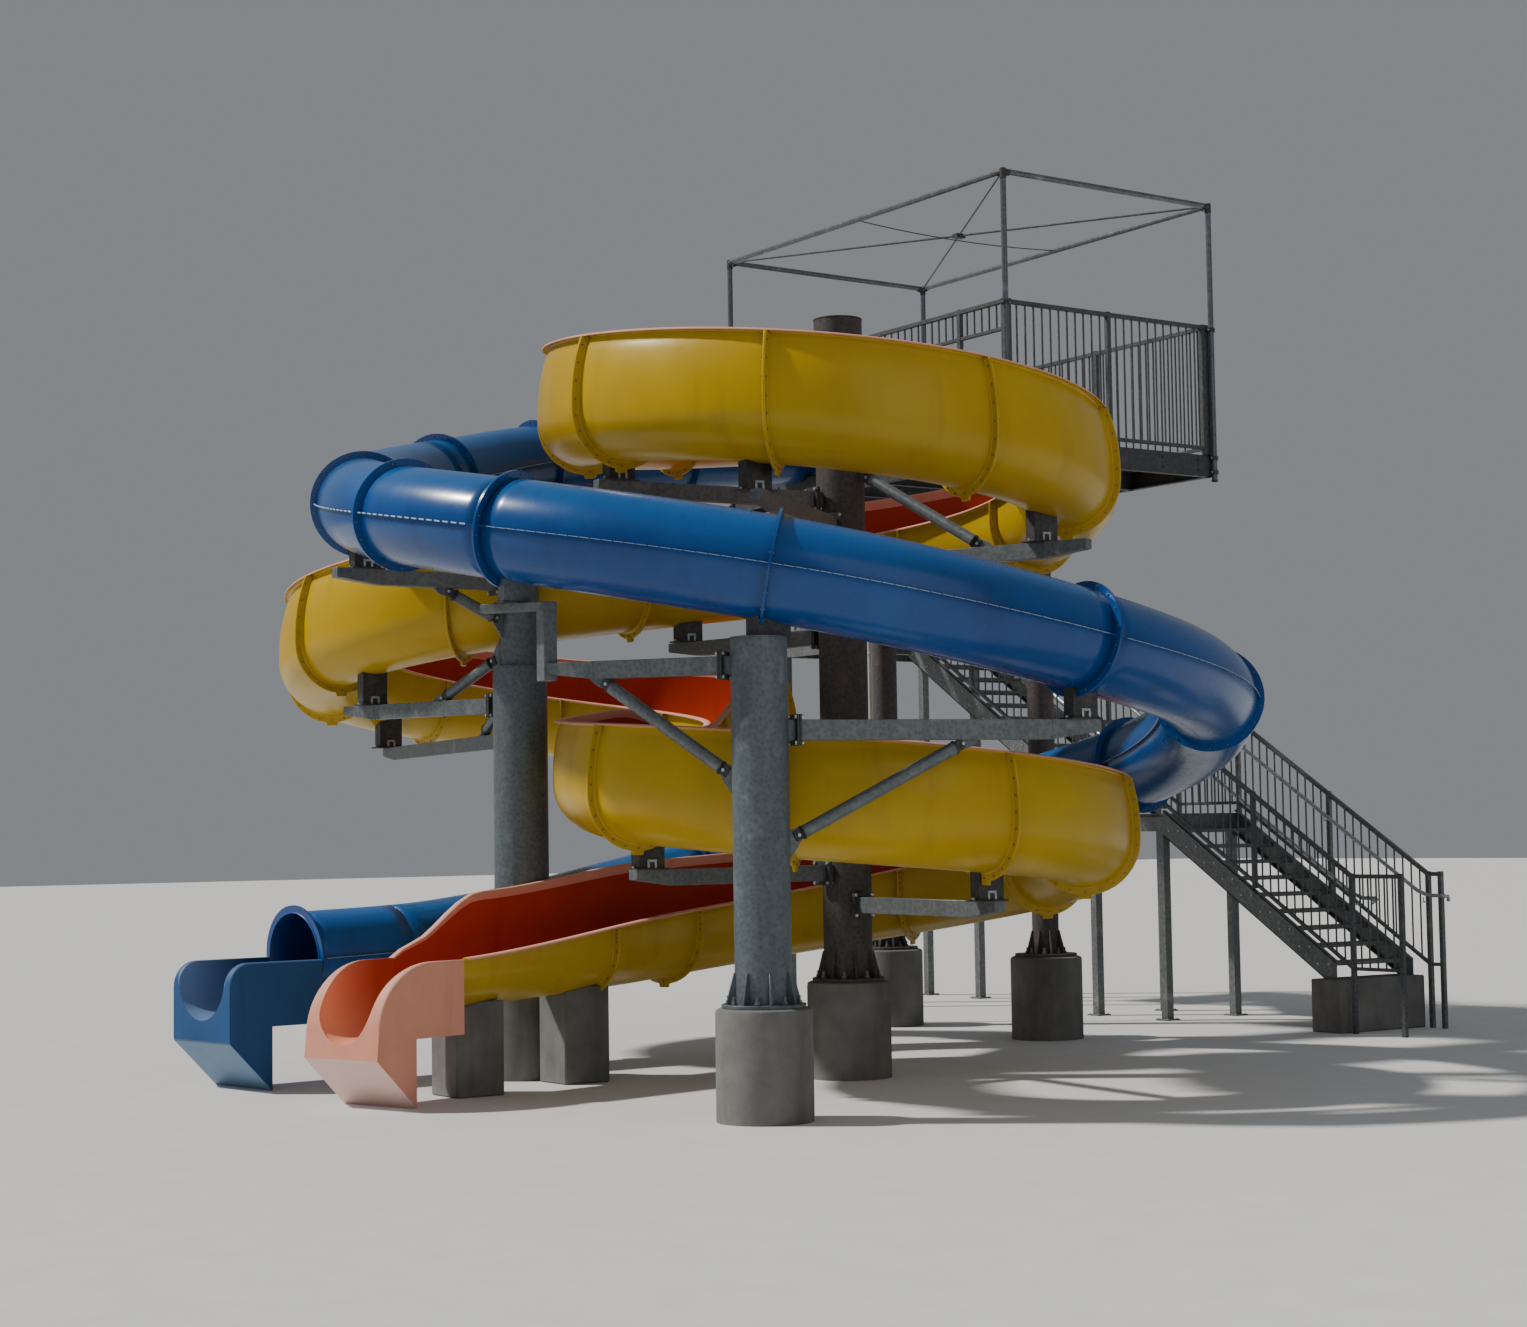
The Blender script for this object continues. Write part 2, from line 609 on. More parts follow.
PLATFORM_WEST, PLATFORM_EAST = 2.69, 5.53
PLATFORM_SOUTH, PLATFORM_NORTH = 0.83, 5.65
PLATFORM_TOP = 5.55
flume_route = make_route(PLATFORM_WEST - SEAT, 2.195, math.pi, [
    (2.834, 0, 0), (0, 359.09, 2.185), (0.585, 0, 0), (0, -330.48, 2.19), (1.92, 0, 0), (0, 348.39, 2.1375),
    (4.092, 0, 0),
])
flume_height = smooth_through([
    (0, 5.5), (4.79, 4.99), (7.84, 4.67), (11.66, 4.21), (16.84, 3.63), (22, 2.94), (25.28, 2.53),
    (27.03, 2.33), (30.7, 1.93), (32.53, 1.7), (35.2, 1.45), (39.24, 1.07), (43.97, 0.37), (47.689, 0.165),
])
right_wall = eased_through([
    (16.04, 1.07), (17.64, 0.63), (29.62, 0.63), (31.4, 0.97), (35.2, 1.02), (38.6, 0.96), (42, 0.98),
    (44.65, 1.07), (46.69, 0.95), (47.47, 0.56), (47.689, 0.455),
])
left_wall = eased_through([
    (0, 0.9), (2.76, 0.63), (16.04, 0.63), (17.64, 1.09), (29.62, 1.12), (31.4, 0.63), (44.65, 0.64),
    (47.689, 0.47),
])
tube_legs = [(2.91, 0, 0), (0, 206, 3.84), (0, 161.6, 3.4), (5.0, 0, 0)]
tube_route = make_route(PLATFORM_WEST - SEAT, 4.4, math.pi, tube_legs)
tube_height = smooth_through([
    (0, 5.92), (3.4, 5.45), (4.6, 5.19), (7.27, 4.63), (10.28, 4.08), (12.5, 3.665), (15.11, 3.14),
    (17.8, 2.72), (26.31, 0.93), (28.24, 0.64), (29.85, 0.565),
])
FLUME_JOINTS = [0, 3.02, 7.9, 12.78, 17.304, 22.178, 27.053, 32.326, 37.164, 42.003, 47.689]
TUBE_JOINTS = [0, 4.97, 10.28, 15.11, 20.14, 25.14, 29.85]
print("flume:", FLUME_JOINTS[-1], "m, tube:", TUBE_JOINTS[-1], "m")

# %% [markdown]
# The flume is a trough of glass fibre about 10 mm thick. Its wall rises on the outside of each turn,
# and both walls end in a rolled lip. A loft of one changing section is the plain way to make such a
# shell: the section lists matching points of its outer and inner face, so the wall keeps its thickness
# and the ends close with clean quads. Each flanged length stays a piece of its own.

# %% Flume section
FLUME_RADIUS, FLUME_WALL = 0.41, 0.010
FLUME_AXIS = FLUME_RADIUS + FLUME_WALL
LEAN_FROM, LEAN_OVER, LEAN_REACH = 0.50, 0.62, 0.13
ARC_STEPS, WALL_STEPS = 22, 8
arc_turns = [math.pi + math.pi * i / ARC_STEPS for i in range(ARC_STEPS + 1)]
ARC = [(math.cos(t), math.sin(t)) for t in arc_turns]
INNER_LIP = [(0, -0.014), (0.004, -0.005), (0.012, -0.001), (0.050, -0.001), (0.070, -0.008), (0.075, -0.014)]
OUTER_LIP = [(0.010, -0.034), (0.013, -0.020), (0.022, -0.013), (0.048, -0.012), (0.066, -0.017)]
OUTER_LIP.append((0.074, -0.022))


def arc_points(radius):
    return [(radius * a, FLUME_AXIS + radius * b) for a, b in ARC]


def lean(z):
    """How far a high wall curves back over the trough at a height above its lowest line."""
    return LEAN_REACH * (max(0.0, z - LEAN_FROM) / LEAN_OVER) ** 2


def wall_heights(top):
    return [FLUME_AXIS + (top - FLUME_AXIS) * i / WALL_STEPS for i in range(1, WALL_STEPS)]


def wall_line(radius, lip, distance):
    """One face of the trough, from the left lip's tip round the bottom to the right lip's tip."""
    left_top, right_top = left_wall(distance), right_wall(distance)
    line = [(lean(left_top) - FLUME_RADIUS - reach, left_top + rise) for reach, rise in reversed(lip)]
    line += [(lean(z) - radius, z) for z in reversed(wall_heights(left_top + lip[0][1]))]
    line += arc_points(radius)
    line += [(radius - lean(z), z) for z in wall_heights(right_top + lip[0][1])]
    return line + [(FLUME_RADIUS + reach - lean(right_top), right_top + rise) for reach, rise in lip]


def stood(distance, outline):
    """A flat outline in (right, up), stood across the flume."""
    foot, _, right = level_frame(flume_route, distance, flume_height(distance))
    return [foot + right * a + UP * b for a, b in outline]


# %% Flume lengths
FLUME_STEP = 0.13
flume_names = ["flume_start"] + ["flume_turn_%d" % i for i in range(1, 9)] + ["flume_exit_run"]
for name, start, end in zip(flume_names, FLUME_JOINTS, FLUME_JOINTS[1:]):
    rings = []
    for distance in steps_between(start + SEAT / 2, end - SEAT / 2, FLUME_STEP):
        outer = wall_line(FLUME_AXIS, OUTER_LIP, distance)
        inner = wall_line(FLUME_RADIUS, INNER_LIP, distance)
        rings.append(stood(distance, outer + inner[::-1]))
    count, lip_points = len(outer), len(INNER_LIP)
    inner_slots = [2] * lip_points + [1] * (count - 2 * lip_points - 1) + [2] * lip_points
    shell = Piece()
    shell.loft(rings, side_slots=[0] * (count - 1) + [2] + inner_slots + [2], caps=False)
    for base in (0, (len(rings) - 1) * 2 * count):
        facing = base + 2 * count - 1
        shell.faces += [[base + i, base + i + 1, facing - 1 - i, facing - i] for i in range(count - 1)]
        shell.slots += [0] * (count - 1)
    finishes = [yellow_outside, orange_inside, salmon_rim]
    shell.deliver(name + "_shell", finishes, "yellow_gelcoat", [name], sharp=50)

# %% [markdown]
# The lengths meet at outside flanges, and more of them stiffen the middle of each length. From outside a
# pair of flanges reads as one rounded rib with bolts through it. The rib follows the trough's outline,
# so it is lofted round that outline. The bolts are grown on points set out on both faces.

# %% Flume ribs
RIB_DISTANCES = [
    3.02, 4.63, 6.26, 7.90, 9.53, 11.15, 12.78, 14.29, 15.80, 17.304, 18.929, 20.554, 22.178, 23.803, 25.428,
    27.053, 28.677, 30.633, 32.326, 33.939, 35.552, 37.164, 38.777, 40.39, 42.003, 43.621, 44.618, 45.789,
]
RIB_HALF, RIB_REACH, RIB_SINK = 0.014, 0.070, 0.006
RIB_PROFILE = [(-1.5, -RIB_SINK), (-1.5, 0.004), (-1, 0.012), (-0.8, RIB_REACH - 0.004), (-0.4, RIB_REACH)]
RIB_PROFILE += [(-share, out) for share, out in reversed(RIB_PROFILE)]
BOLT_LINE = 0.042
FOOT_TAB = [(-0.05, -0.10), (0.05, -0.10), (0.07, -0.02), (-0.07, -0.02)]


def rib_outline(distance):
    """Points and outward directions down the left wall, round the bottom and up the right wall."""
    walls = []
    for side, top in ((-1, left_wall(distance) - 0.020), (1, right_wall(distance) - 0.020)):
        walls.append([((side * (FLUME_AXIS - lean(z)), z), (side, 0)) for z in wall_heights(top) + [top]])
    return walls[0][::-1] + list(zip(arc_points(FLUME_AXIS), ARC)) + walls[1]


ribs = Piece()
rib_bolts = []
for distance in RIB_DISTANCES:
    outline = rib_outline(distance)
    along = level_frame(flume_route, distance)[1]
    rings = []
    for (x, z), (nx, nz) in outline:
        spots = [(share * RIB_HALF, (x + nx * out, z + nz * out)) for share, out in RIB_PROFILE]
        rings.append([stood(distance + shift, [spot])[0] for shift, spot in spots])
    ribs.loft(rings)
    for (x, z), (nx, nz) in outline[1:-1:2]:
        spot = (x + nx * BOLT_LINE, z + nz * BOLT_LINE)
        for side in (-1, 1):
            rib_bolts.append((stood(distance + side * (RIB_HALF - 0.001), [spot])[0], along * side))
    ribs.loft([stood(distance + s * 0.012, FOOT_TAB) for s in (-1, 1)])
ribs.deliver("flume_joint_ribs", [yellow_outside], "yellow_gelcoat", bevel=0.004)
studs("flume_rib_bolts", rib_bolts, 0.015, 0.008, 6, arm_steel)

# %% [markdown]
# The tube is a closed pipe of about 0.83 m. Its shape follows a rule, one circle along a path, so a
# tree sweeps it, and a Solidify modifier gives the wall. Each length was moulded in an upper and a lower
# half. Their seam stands out as a ledge on both sides, with broad strips of pale sealant on part of the
# second length and a thin line of it elsewhere. The last metre before the exit has faded.

# %% Tube frame
TUBE_RADIUS, TUBE_WALL, TUBE_FLANGE = 0.415, 0.009, 0.062
TUBE_STEP = 0.16
FADED_FROM = 28.81
SEAM_REACH, SEAM_HALF = 0.024, 0.006
STRIP_LENGTH, STRIP_PITCH, STRIP_WIDTH, LINE_WIDTH = 0.062, 0.085, 0.013, 0.005
STRIPS_FROM, STRIPS_TO = 6.4, 10.28


def tube_centre(distance):
    x, y, _ = place_on(tube_route, distance)
    return on_deck(x, y, tube_height(distance))


def tube_frame(distance):
    along = (tube_centre(distance + 0.01) - tube_centre(distance - 0.01)).normalized()
    right = along.cross(UP).normalized()
    return tube_centre(distance), along, right, right.cross(along)


# %% Tube lengths
tube_names = ["tube_start"] + ["tube_turn_%d" % i for i in range(1, 5)] + ["tube_exit_run", "tube_faded_end"]
tube_ends = TUBE_JOINTS[:-1] + [FADED_FROM, TUBE_JOINTS[-1]]
for name, start, end in zip(tube_names, tube_ends, tube_ends[1:]):
    path_points = [tube_centre(d) for d in steps_between(start + SEAT, end - SEAT, TUBE_STEP)]
    outside = blue_faded if start == FADED_FROM else blue_shell
    shell = skin_along(name + "_shell", path_points, TUBE_RADIUS, 48, outside)
    turn_outwards(shell.data, weld=1e-5)
    shell.data.materials.append(blue_inside)
    wall = shell.modifiers.new("wall", "SOLIDIFY")
    wall.thickness = TUBE_WALL
    wall.offset = -1
    wall.material_offset = 1
    arrive(shell, [] if start == FADED_FROM else [name])

# %% Tube seams, flanges and bolts
seams = Piece()
seam_strips, seam_lines = [], []
for start, end in zip(TUBE_JOINTS, TUBE_JOINTS[1:]):
    for side in (-1, 1):
        rings = []
        for distance in steps_between(start + 0.02, end - 0.02, TUBE_STEP):
            centre, _, right, over = tube_frame(distance)
            near = centre + right * (side * (TUBE_RADIUS - 0.004))
            far = centre + right * (side * (TUBE_RADIUS + SEAM_REACH))
            rise = over * SEAM_HALF
            rings.append([near - rise, far - rise, far + rise, near + rise])
        seams.loft(rings)
        for distance in steps_between(start + 0.10, end - 0.16, STRIP_PITCH):
            centre, along, right, _ = tube_frame(distance)
            sealant = seam_strips if STRIPS_FROM < distance < STRIPS_TO else seam_lines
            sealant.append((centre + right * (side * (TUBE_RADIUS + SEAM_REACH)), along))
seams.deliver("tube_seam_ledges", [blue_shell], "blue_gelcoat", sharp=30)
studs("tube_seam_strips", seam_strips, STRIP_WIDTH, STRIP_LENGTH, 6, seam_sealant)
studs("tube_seam_lines", seam_lines, LINE_WIDTH, STRIP_PITCH, 4, seam_sealant)

TUBE_RIBS = [0.02, 1.6, 3.35, 4.75, 7.35, 8.82, 10.28, 12.49, 15.11, 17.64, 20.14, 22.64, 25.14, 27.04, 29.83]
RING_THICKNESS, RING_SINK = 0.022, 0.004
BOLTS_ROUND = 18
frames = [tube_frame(distance) for distance in TUBE_RIBS]
values = {"Radius": TUBE_RADIUS + (TUBE_FLANGE - RING_SINK) / 2, "Width": TUBE_FLANGE + RING_SINK}
values |= {"Thickness": RING_THICKNESS, "Sides": 56, "Finish": blue_shell}
ring_points = [centre for centre, *_ in frames]
rings = grow("tube_flange_rings", ring_tree, ring_points, values, aim=[along for _, along, *_ in frames])
smooth(rings.data, 35)
arrive(rings)

ring_bolts = []
for centre, along, right, over in frames[:-1]:
    for k in range(BOLTS_ROUND):
        t = 2 * math.pi * (k + 0.5) / BOLTS_ROUND
        spot = centre + (right * math.cos(t) + over * math.sin(t)) * (TUBE_RADIUS + 0.034)
        ring_bolts += [(spot + along * (side * RING_THICKNESS / 2), along * side) for side in (-1, 1)]
studs("tube_ring_bolts", ring_bolts, 0.016, 0.009, 6, arm_steel)

# %% [markdown]
# Each slide ends in a boxy moulding with a wedge under its nose. Seen from the side it is one bold
# outline, seen from the front a deep U. Boolean cuts would leave ragged edges, so the moulding is
# lofted too: a row of sections from the joint to the nose, each with its outer wall, a rounded rim and
# a channel that ends wherever the falling rim cuts it.

# %% Exit mouldings
CHANNEL_STEPS = 12
RIM_ROUND = 0.030


def blend_stations(stations, t):
    """Half width, floor and axis height of the channel at a distance from the joint."""
    for (t0, *first), (t1, *second) in zip(stations, stations[1:]):
        if t <= t1:
            share = min(max((t - t0) / (t1 - t0), 0), 1)
            return [a + (b - a) * share for a, b in zip(first, second)]
    return list(stations[-1][1:])


def exit_section(half_width, top, bottom, channel):
    """The right half of a section, from the middle of the channel's floor to the outer lower corner."""
    reach, floor_z, axis_z = channel
    edge = top - 0.012
    points = []
    for i in range(CHANNEL_STEPS + 1):
        z = floor_z + (edge - floor_z) * (i / CHANNEL_STEPS) ** 2
        share = (axis_z - z) / (axis_z - floor_z)
        points.append((reach * math.sqrt(max(0.0, 1 - share * share)) if z < axis_z else reach, z))
    inner = points[-1][0]
    rim = half_width - inner
    inner_round, outer_round = min(0.014, 0.35 * rim), min(RIM_ROUND, 0.6 * rim)
    points += [(inner + 0.3 * inner_round, top - 0.004), (inner + inner_round, top)]
    points.append((half_width - outer_round, top))
    for turn_share in (0.33, 0.67, 1.0):
        t = turn_share * math.pi / 2
        points.append((half_width - outer_round * (1 - math.sin(t)), top - outer_round * (1 - math.cos(t))))
    return points + [(half_width, bottom)]


def exit_moulding(name, route, start, width, stations, profile, nose_lean, finishes, slot, node):
    """profile lists (distance, top, bottom) from the joint to the nose."""
    rings, bleach = [], []
    for t, top, bottom in profile:
        right_half = exit_section(width / 2, top, bottom, blend_stations(stations, t))
        tilt = nose_lean if t == profile[-1][0] else 0.0
        ring = []
        for a, b in [(-a, b) for a, b in right_half[:0:-1]] + right_half:
            place, along, across = level_frame(route, start + SEAT / 2, b)
            ring.append(place + along * (t + tilt * (top - b) / (top - bottom)) + across * a)
        rings.append(ring)
        bleach += [min(1.0, max(0.0, (t - 0.1) / 0.8))] * len(ring)
    middle = len(ring) // 2
    inside = range(middle - CHANNEL_STEPS - 2, middle + CHANNEL_STEPS + 2)
    moulding = Piece()
    moulding.loft(rings, side_slots=[1 if i in inside else 0 for i in range(len(ring))])
    made = moulding.deliver(name, finishes, slot, [node], bevel=0.008, segments=2, sharp=40)
    made.data.attributes.new("bleach", "FLOAT", "POINT").data.foreach_set("value", bleach)


def rounded_nose(start, reach, high, low, steps):
    """Points (distance, top) down a quarter of an ellipse to the nose."""
    swings = [math.pi / 2 * k / steps for k in range(steps + 1)]
    return [(start + reach * math.sin(s), low + (high - low) * math.cos(s)) for s in swings]


def with_underside(tops, edge, wedge_end, wedge_low, nose_low):
    """Adds the lower edge: level at first, a step down, then a wedge that rises to the nose."""
    profile = []
    for t, top in sorted(tops):
        if t == edge:
            profile.append((t - 1e-4, top, 0.0))
        bottom = -DECK + (wedge_low + DECK) * (t - edge) / (wedge_end - edge) if t >= edge else 0.0
        profile.append((t, top, bottom))
    profile[-1] = (t, top, nose_low)
    return profile


YELLOW_TOP, YELLOW_NOSE, YELLOW_SHOULDER, YELLOW_EDGE = 0.62, 0.97, 0.35, 0.55
YELLOW_LIP, YELLOW_LEAN, YELLOW_UNDER = 0.05, 0.02, -0.15
nose_reach = YELLOW_NOSE - YELLOW_SHOULDER
edge_share = math.sqrt(1 - ((YELLOW_EDGE - YELLOW_SHOULDER) / nose_reach) ** 2)
yellow_tops = [(t, YELLOW_TOP) for t in (0.0, 0.12, 0.24)]
yellow_tops.append((YELLOW_EDGE, YELLOW_LIP + (YELLOW_TOP - YELLOW_LIP) * edge_share))
yellow_tops += rounded_nose(YELLOW_SHOULDER, nose_reach, YELLOW_TOP, YELLOW_LIP, 16)
wedge_end = YELLOW_NOSE + YELLOW_LEAN
yellow_profile = with_underside(yellow_tops, YELLOW_EDGE, wedge_end, YELLOW_UNDER, YELLOW_UNDER)
YELLOW_CHANNEL = [(0.0, 0.41, 0.172, 0.58), (0.35, 0.385, 0.095, 0.47), (0.7, 0.335, 0.01, 0.345)]
YELLOW_CHANNEL.append((1.02, 0.29, -0.045, 0.245))
exit_moulding(
    "flume_exit_moulding", flume_route, FLUME_JOINTS[-1], 0.86, YELLOW_CHANNEL, yellow_profile, YELLOW_LEAN,
    [salmon_rim, orange_bleached], "salmon_gelcoat", "flume_exit_box",
)

BLUE_TOP, BLUE_LENGTH, BLUE_CORNER, BLUE_EDGE, BLUE_UNDER = 0.565, 0.95, 0.20, 0.52, -0.10
blue_tops = [(t, BLUE_TOP) for t in (0.0, 0.2, 0.4, BLUE_EDGE)]
blue_tops += rounded_nose(BLUE_LENGTH - BLUE_CORNER, BLUE_CORNER, BLUE_TOP, BLUE_TOP - BLUE_CORNER, 8)
blue_profile = with_underside(blue_tops, BLUE_EDGE, BLUE_LENGTH - 0.02, -0.15, BLUE_UNDER)
BLUE_CHANNEL = [(0.0, 0.406, 0.157, 0.56), (0.5, 0.40, 0.11, 0.50), (1.0, 0.39, 0.05, 0.44)]
exit_moulding(
    "tube_exit_moulding", tube_route, TUBE_JOINTS[-1], 0.96, BLUE_CHANNEL, blue_profile, 0.0,
    [pale_blue_shell, blue_bleached], "pale_blue_gelcoat", "tube_exit_box",
)

# %% [markdown]
# Three thick columns carry the slides and two slimmer ones the platform. Such a column is a steel tube
# welded to a round base plate. Eight gussets stiffen the joint, and an anchor bolt stands between each
# two of them. The shafts get many sides, because one highlight runs down their full height.

# %% Columns and piers
PIER_TOP, PIER_RADIUS = 0.300, 0.375
PLATE_RADIUS, PLATE_THICK = 0.325, 0.030
GUSSETS, GUSSET_REACH, GUSSET_RISE, GUSSET_THICK = 8, 0.070, 0.240, 0.016
ANCHOR_REACH = 0.055
CAP_THICK = 0.012
SHAFT_SIDES = 64
JOIST_LOW = PLATFORM_TOP - 0.230
COLUMNS = {
    "front": (-2.620, -2.430, 0.220, 3.140, column_steel),
    "centre": (0.0, 0.0, 0.220, 6.300, weathered_steel),
    "left": (-2.194, 2.042, 0.250, 3.200, column_steel),
    "platform_south": (4.120, 2.050, 0.140, JOIST_LOW - SEAT, weathered_steel),
    "platform_north": (4.120, 4.750, 0.140, JOIST_LOW - SEAT, weathered_steel),
}
NECK_RADIUS, NECK_TOP = 0.178, 4.050
steel = {}
anchors = []
plate_top = PIER_TOP + SEAT + PLATE_THICK


def level_way(share):
    """A level direction at a share of the full circle."""
    turned = 2 * math.pi * share
    return Vector((math.cos(turned), math.sin(turned), 0))


for name, (x, y, radius, top, _) in COLUMNS.items():
    shaft = steel[name] = Piece()
    shaft.upright(x, y, (PIER_TOP + SEAT, plate_top), PLATE_RADIUS, SHAFT_SIDES)
    shaft.upright(x, y, (plate_top - 0.005, top - CAP_THICK), radius, SHAFT_SIDES)
    shaft.upright(x, y, (top - CAP_THICK, top), radius + 0.004, SHAFT_SIDES)
    gusset = [(radius - 0.01, -0.002), (radius + GUSSET_REACH, -0.002), (radius + GUSSET_REACH, 0.025)]
    gusset += [(radius + 0.014, GUSSET_RISE), (radius - 0.01, GUSSET_RISE)]
    foot = on_deck(x, y, plate_top)
    for k in range(GUSSETS):
        at_gusset, at_anchor = level_way((k + 0.5) / GUSSETS), level_way(k / GUSSETS)
        side = UP.cross(at_gusset)
        shaft.prism(gusset, foot - side * (GUSSET_THICK / 2), at_gusset, UP, side * GUSSET_THICK)
        anchors.append((foot + at_anchor * (radius + ANCHOR_REACH), UP))
    pier = Piece()
    heights = [-DECK, PIER_TOP - 0.035, PIER_TOP - 0.012, PIER_TOP]
    radii = [PIER_RADIUS, PIER_RADIUS, PIER_RADIUS - 0.006, PIER_RADIUS - 0.030]
    pier.upright(x, y, heights, radii, SHAFT_SIDES)
    pier.deliver(name + "_cast_pier", [concrete], "concrete", [name + "_pier"])

steel["left"].upright(*COLUMNS["left"][:2], (3.19, NECK_TOP), NECK_RADIUS, SHAFT_SIDES)
studs("anchor_washers", anchors, 0.062, 0.005, 24, clamp_steel)
studs("anchor_nuts", anchors, 0.046, 0.026, 6, arm_steel)
studs("anchor_rods", anchors, 0.024, 0.062, 12, arm_steel)

# %% [markdown]
# An arm is a box beam that starts at two bolted end plates and tapers under the slide that it carries. A
# brace pipe under it ends in small brackets. On the beam, between bright clips, stands a saddle. Its top
# is cut to the slide's underside. So the saddles look up the nearest point of a route and follow the
# round of the shell above them.

# %% Saddles
route_rows = []
for route, height, radius, axis, length in (
    (flume_route, flume_height, FLUME_AXIS, FLUME_AXIS, FLUME_JOINTS[-1]),
    (tube_route, tube_height, TUBE_RADIUS, 0.0, TUBE_JOINTS[-1]),
):
    for distance in steps_between(0, length, 0.03):
        x, y, _ = place_on(route, distance)
        route_rows.append((x, y, height(distance) + axis + DECK, radius))
route_table = np.array(route_rows)


def underside_at(x, y, low, high):
    """Height of a slide's underside over a point, between two heights, or the upper one."""
    away = np.hypot(route_table[:, 0] - x, route_table[:, 1] - y)
    under = route_table[:, 2] - np.sqrt(np.maximum(route_table[:, 3] ** 2 - away**2, 0))
    fits = (away < route_table[:, 3] * 0.98) & (under > low) & (under < high)
    return under[fits][np.argmin(away[fits])] if fits.any() else high


def saddle(piece, place, low, high, size, slot, steps=10):
    near, far = place[1] - size[1] / 2, place[1] + size[1] / 2
    rings = []
    for i in range(steps + 1):
        x = place[0] + size[0] * (i / steps - 0.5)
        ring = [on_deck(x, y, low) for y in (near, far)]
        for y in (far, place[1], near):
            ring.append(Vector((x, y, underside_at(x, y, low + DECK, high + DECK) - SEAT)))
        rings.append(ring)
    piece.loft(rings, slot)


# %% Arms and braces
BRACE_RADIUS, BRACE_GAP, BRACKET_THICK = 0.052, 0.12, 0.016
TIP_TAPER, TIP_SHARE = 0.42, 0.62
SADDLE_SIZE = (0.26, 0.12)
CLIP_HALF, CLIP_RISE, CLIP_WIDE, CLIP_THICK = 0.036, 0.062, 0.022, 0.010
SOLE_THICK, SOLE_LENGTH, SOLE_WIDTH, SOLE_BOLT = 0.012, 0.32, 0.17, 0.146
COLLAR, END_PLATES, PLATE_WIDER, PLATE_TALLER = 0.05, ((0.0, 0.018), (0.020, 0.038)), 0.10, 0.08
steel_bolts = []


def bracket(piece, outline, root, outward, a, b):
    """A plate in the upright plane of a brace, with a bolt through it at (a, b)."""
    across = outward.cross(UP)
    piece.prism(outline, root - across * (BRACKET_THICK / 2), outward, UP, across * BRACKET_THICK, 1)
    for side in (-1, 1):
        steel_bolts.append((root + outward * a + UP * b + across * (side * 0.022), across * side))


def brace(piece, start, end, column_radius, half_depth):
    along = (end - start).normalized()
    outward = Vector((along.x, along.y, 0)).normalized()
    slant = along.z / along.dot(outward)
    sign = 1 if slant > 0 else -1
    shell = start + along * (column_radius / along.dot(outward))
    root = shell + along * BRACE_GAP
    tip = end - along * ((half_depth + 0.06) / abs(along.z))
    piece.pipe([root, tip], BRACE_RADIUS, 24, 1)
    for point, way in ((root, along), (tip, -along)):
        piece.pipe([point - way * 0.004, point + way * 0.012], BRACE_RADIUS + 0.006, 24, 2)
        piece.bar(point - way * 0.07, point, 0.044, 0.085, 2)
    low = [(-0.01, 0.07 * sign), (0.12, 0.12 * slant + 0.05 * sign), (0.15, 0.15 * slant)]
    low += [(0.08, -0.04 * sign), (-0.01, -0.17 * sign)]
    bracket(piece, low, shell, outward, 0.075, 0.075 * slant)
    high = [(-0.10, 0.004 * sign), (0.09, 0.004 * sign), (0.03, -0.05 * sign)]
    high += [(-0.05, -0.05 * slant - 0.05 * sign), (-0.12, -0.12 * slant)]
    bracket(piece, high, end - along * (half_depth / abs(along.z)), outward, -0.06, -0.06 * slant)


def clipped_saddle(piece, place, over, top):
    saddle(piece, place, top + 0.010, over, SADDLE_SIZE, 2)
    for side in (-1, 1):
        foot = on_deck(place[0], place[1] + side * (SADDLE_SIZE[1] / 2 + 0.004), top + SOLE_THICK)
        crown = foot + UP * CLIP_RISE
        for shift in (X_AXIS * -CLIP_HALF, X_AXIS * CLIP_HALF):
            piece.bar(foot + shift, crown + shift, CLIP_WIDE, CLIP_THICK, 3)
        reach = X_AXIS * (CLIP_HALF + CLIP_WIDE / 2)
        piece.bar(crown - reach, crown + reach, CLIP_THICK, CLIP_WIDE, 3)
    piece.bar(on_deck(*place, top - 0.004), on_deck(*place, top + SOLE_THICK), SOLE_LENGTH, SOLE_WIDTH, 2)
    for a in (-SOLE_BOLT, SOLE_BOLT):
        steel_bolts.append((on_deck(place[0] + a, place[1], top + SOLE_THICK), UP))


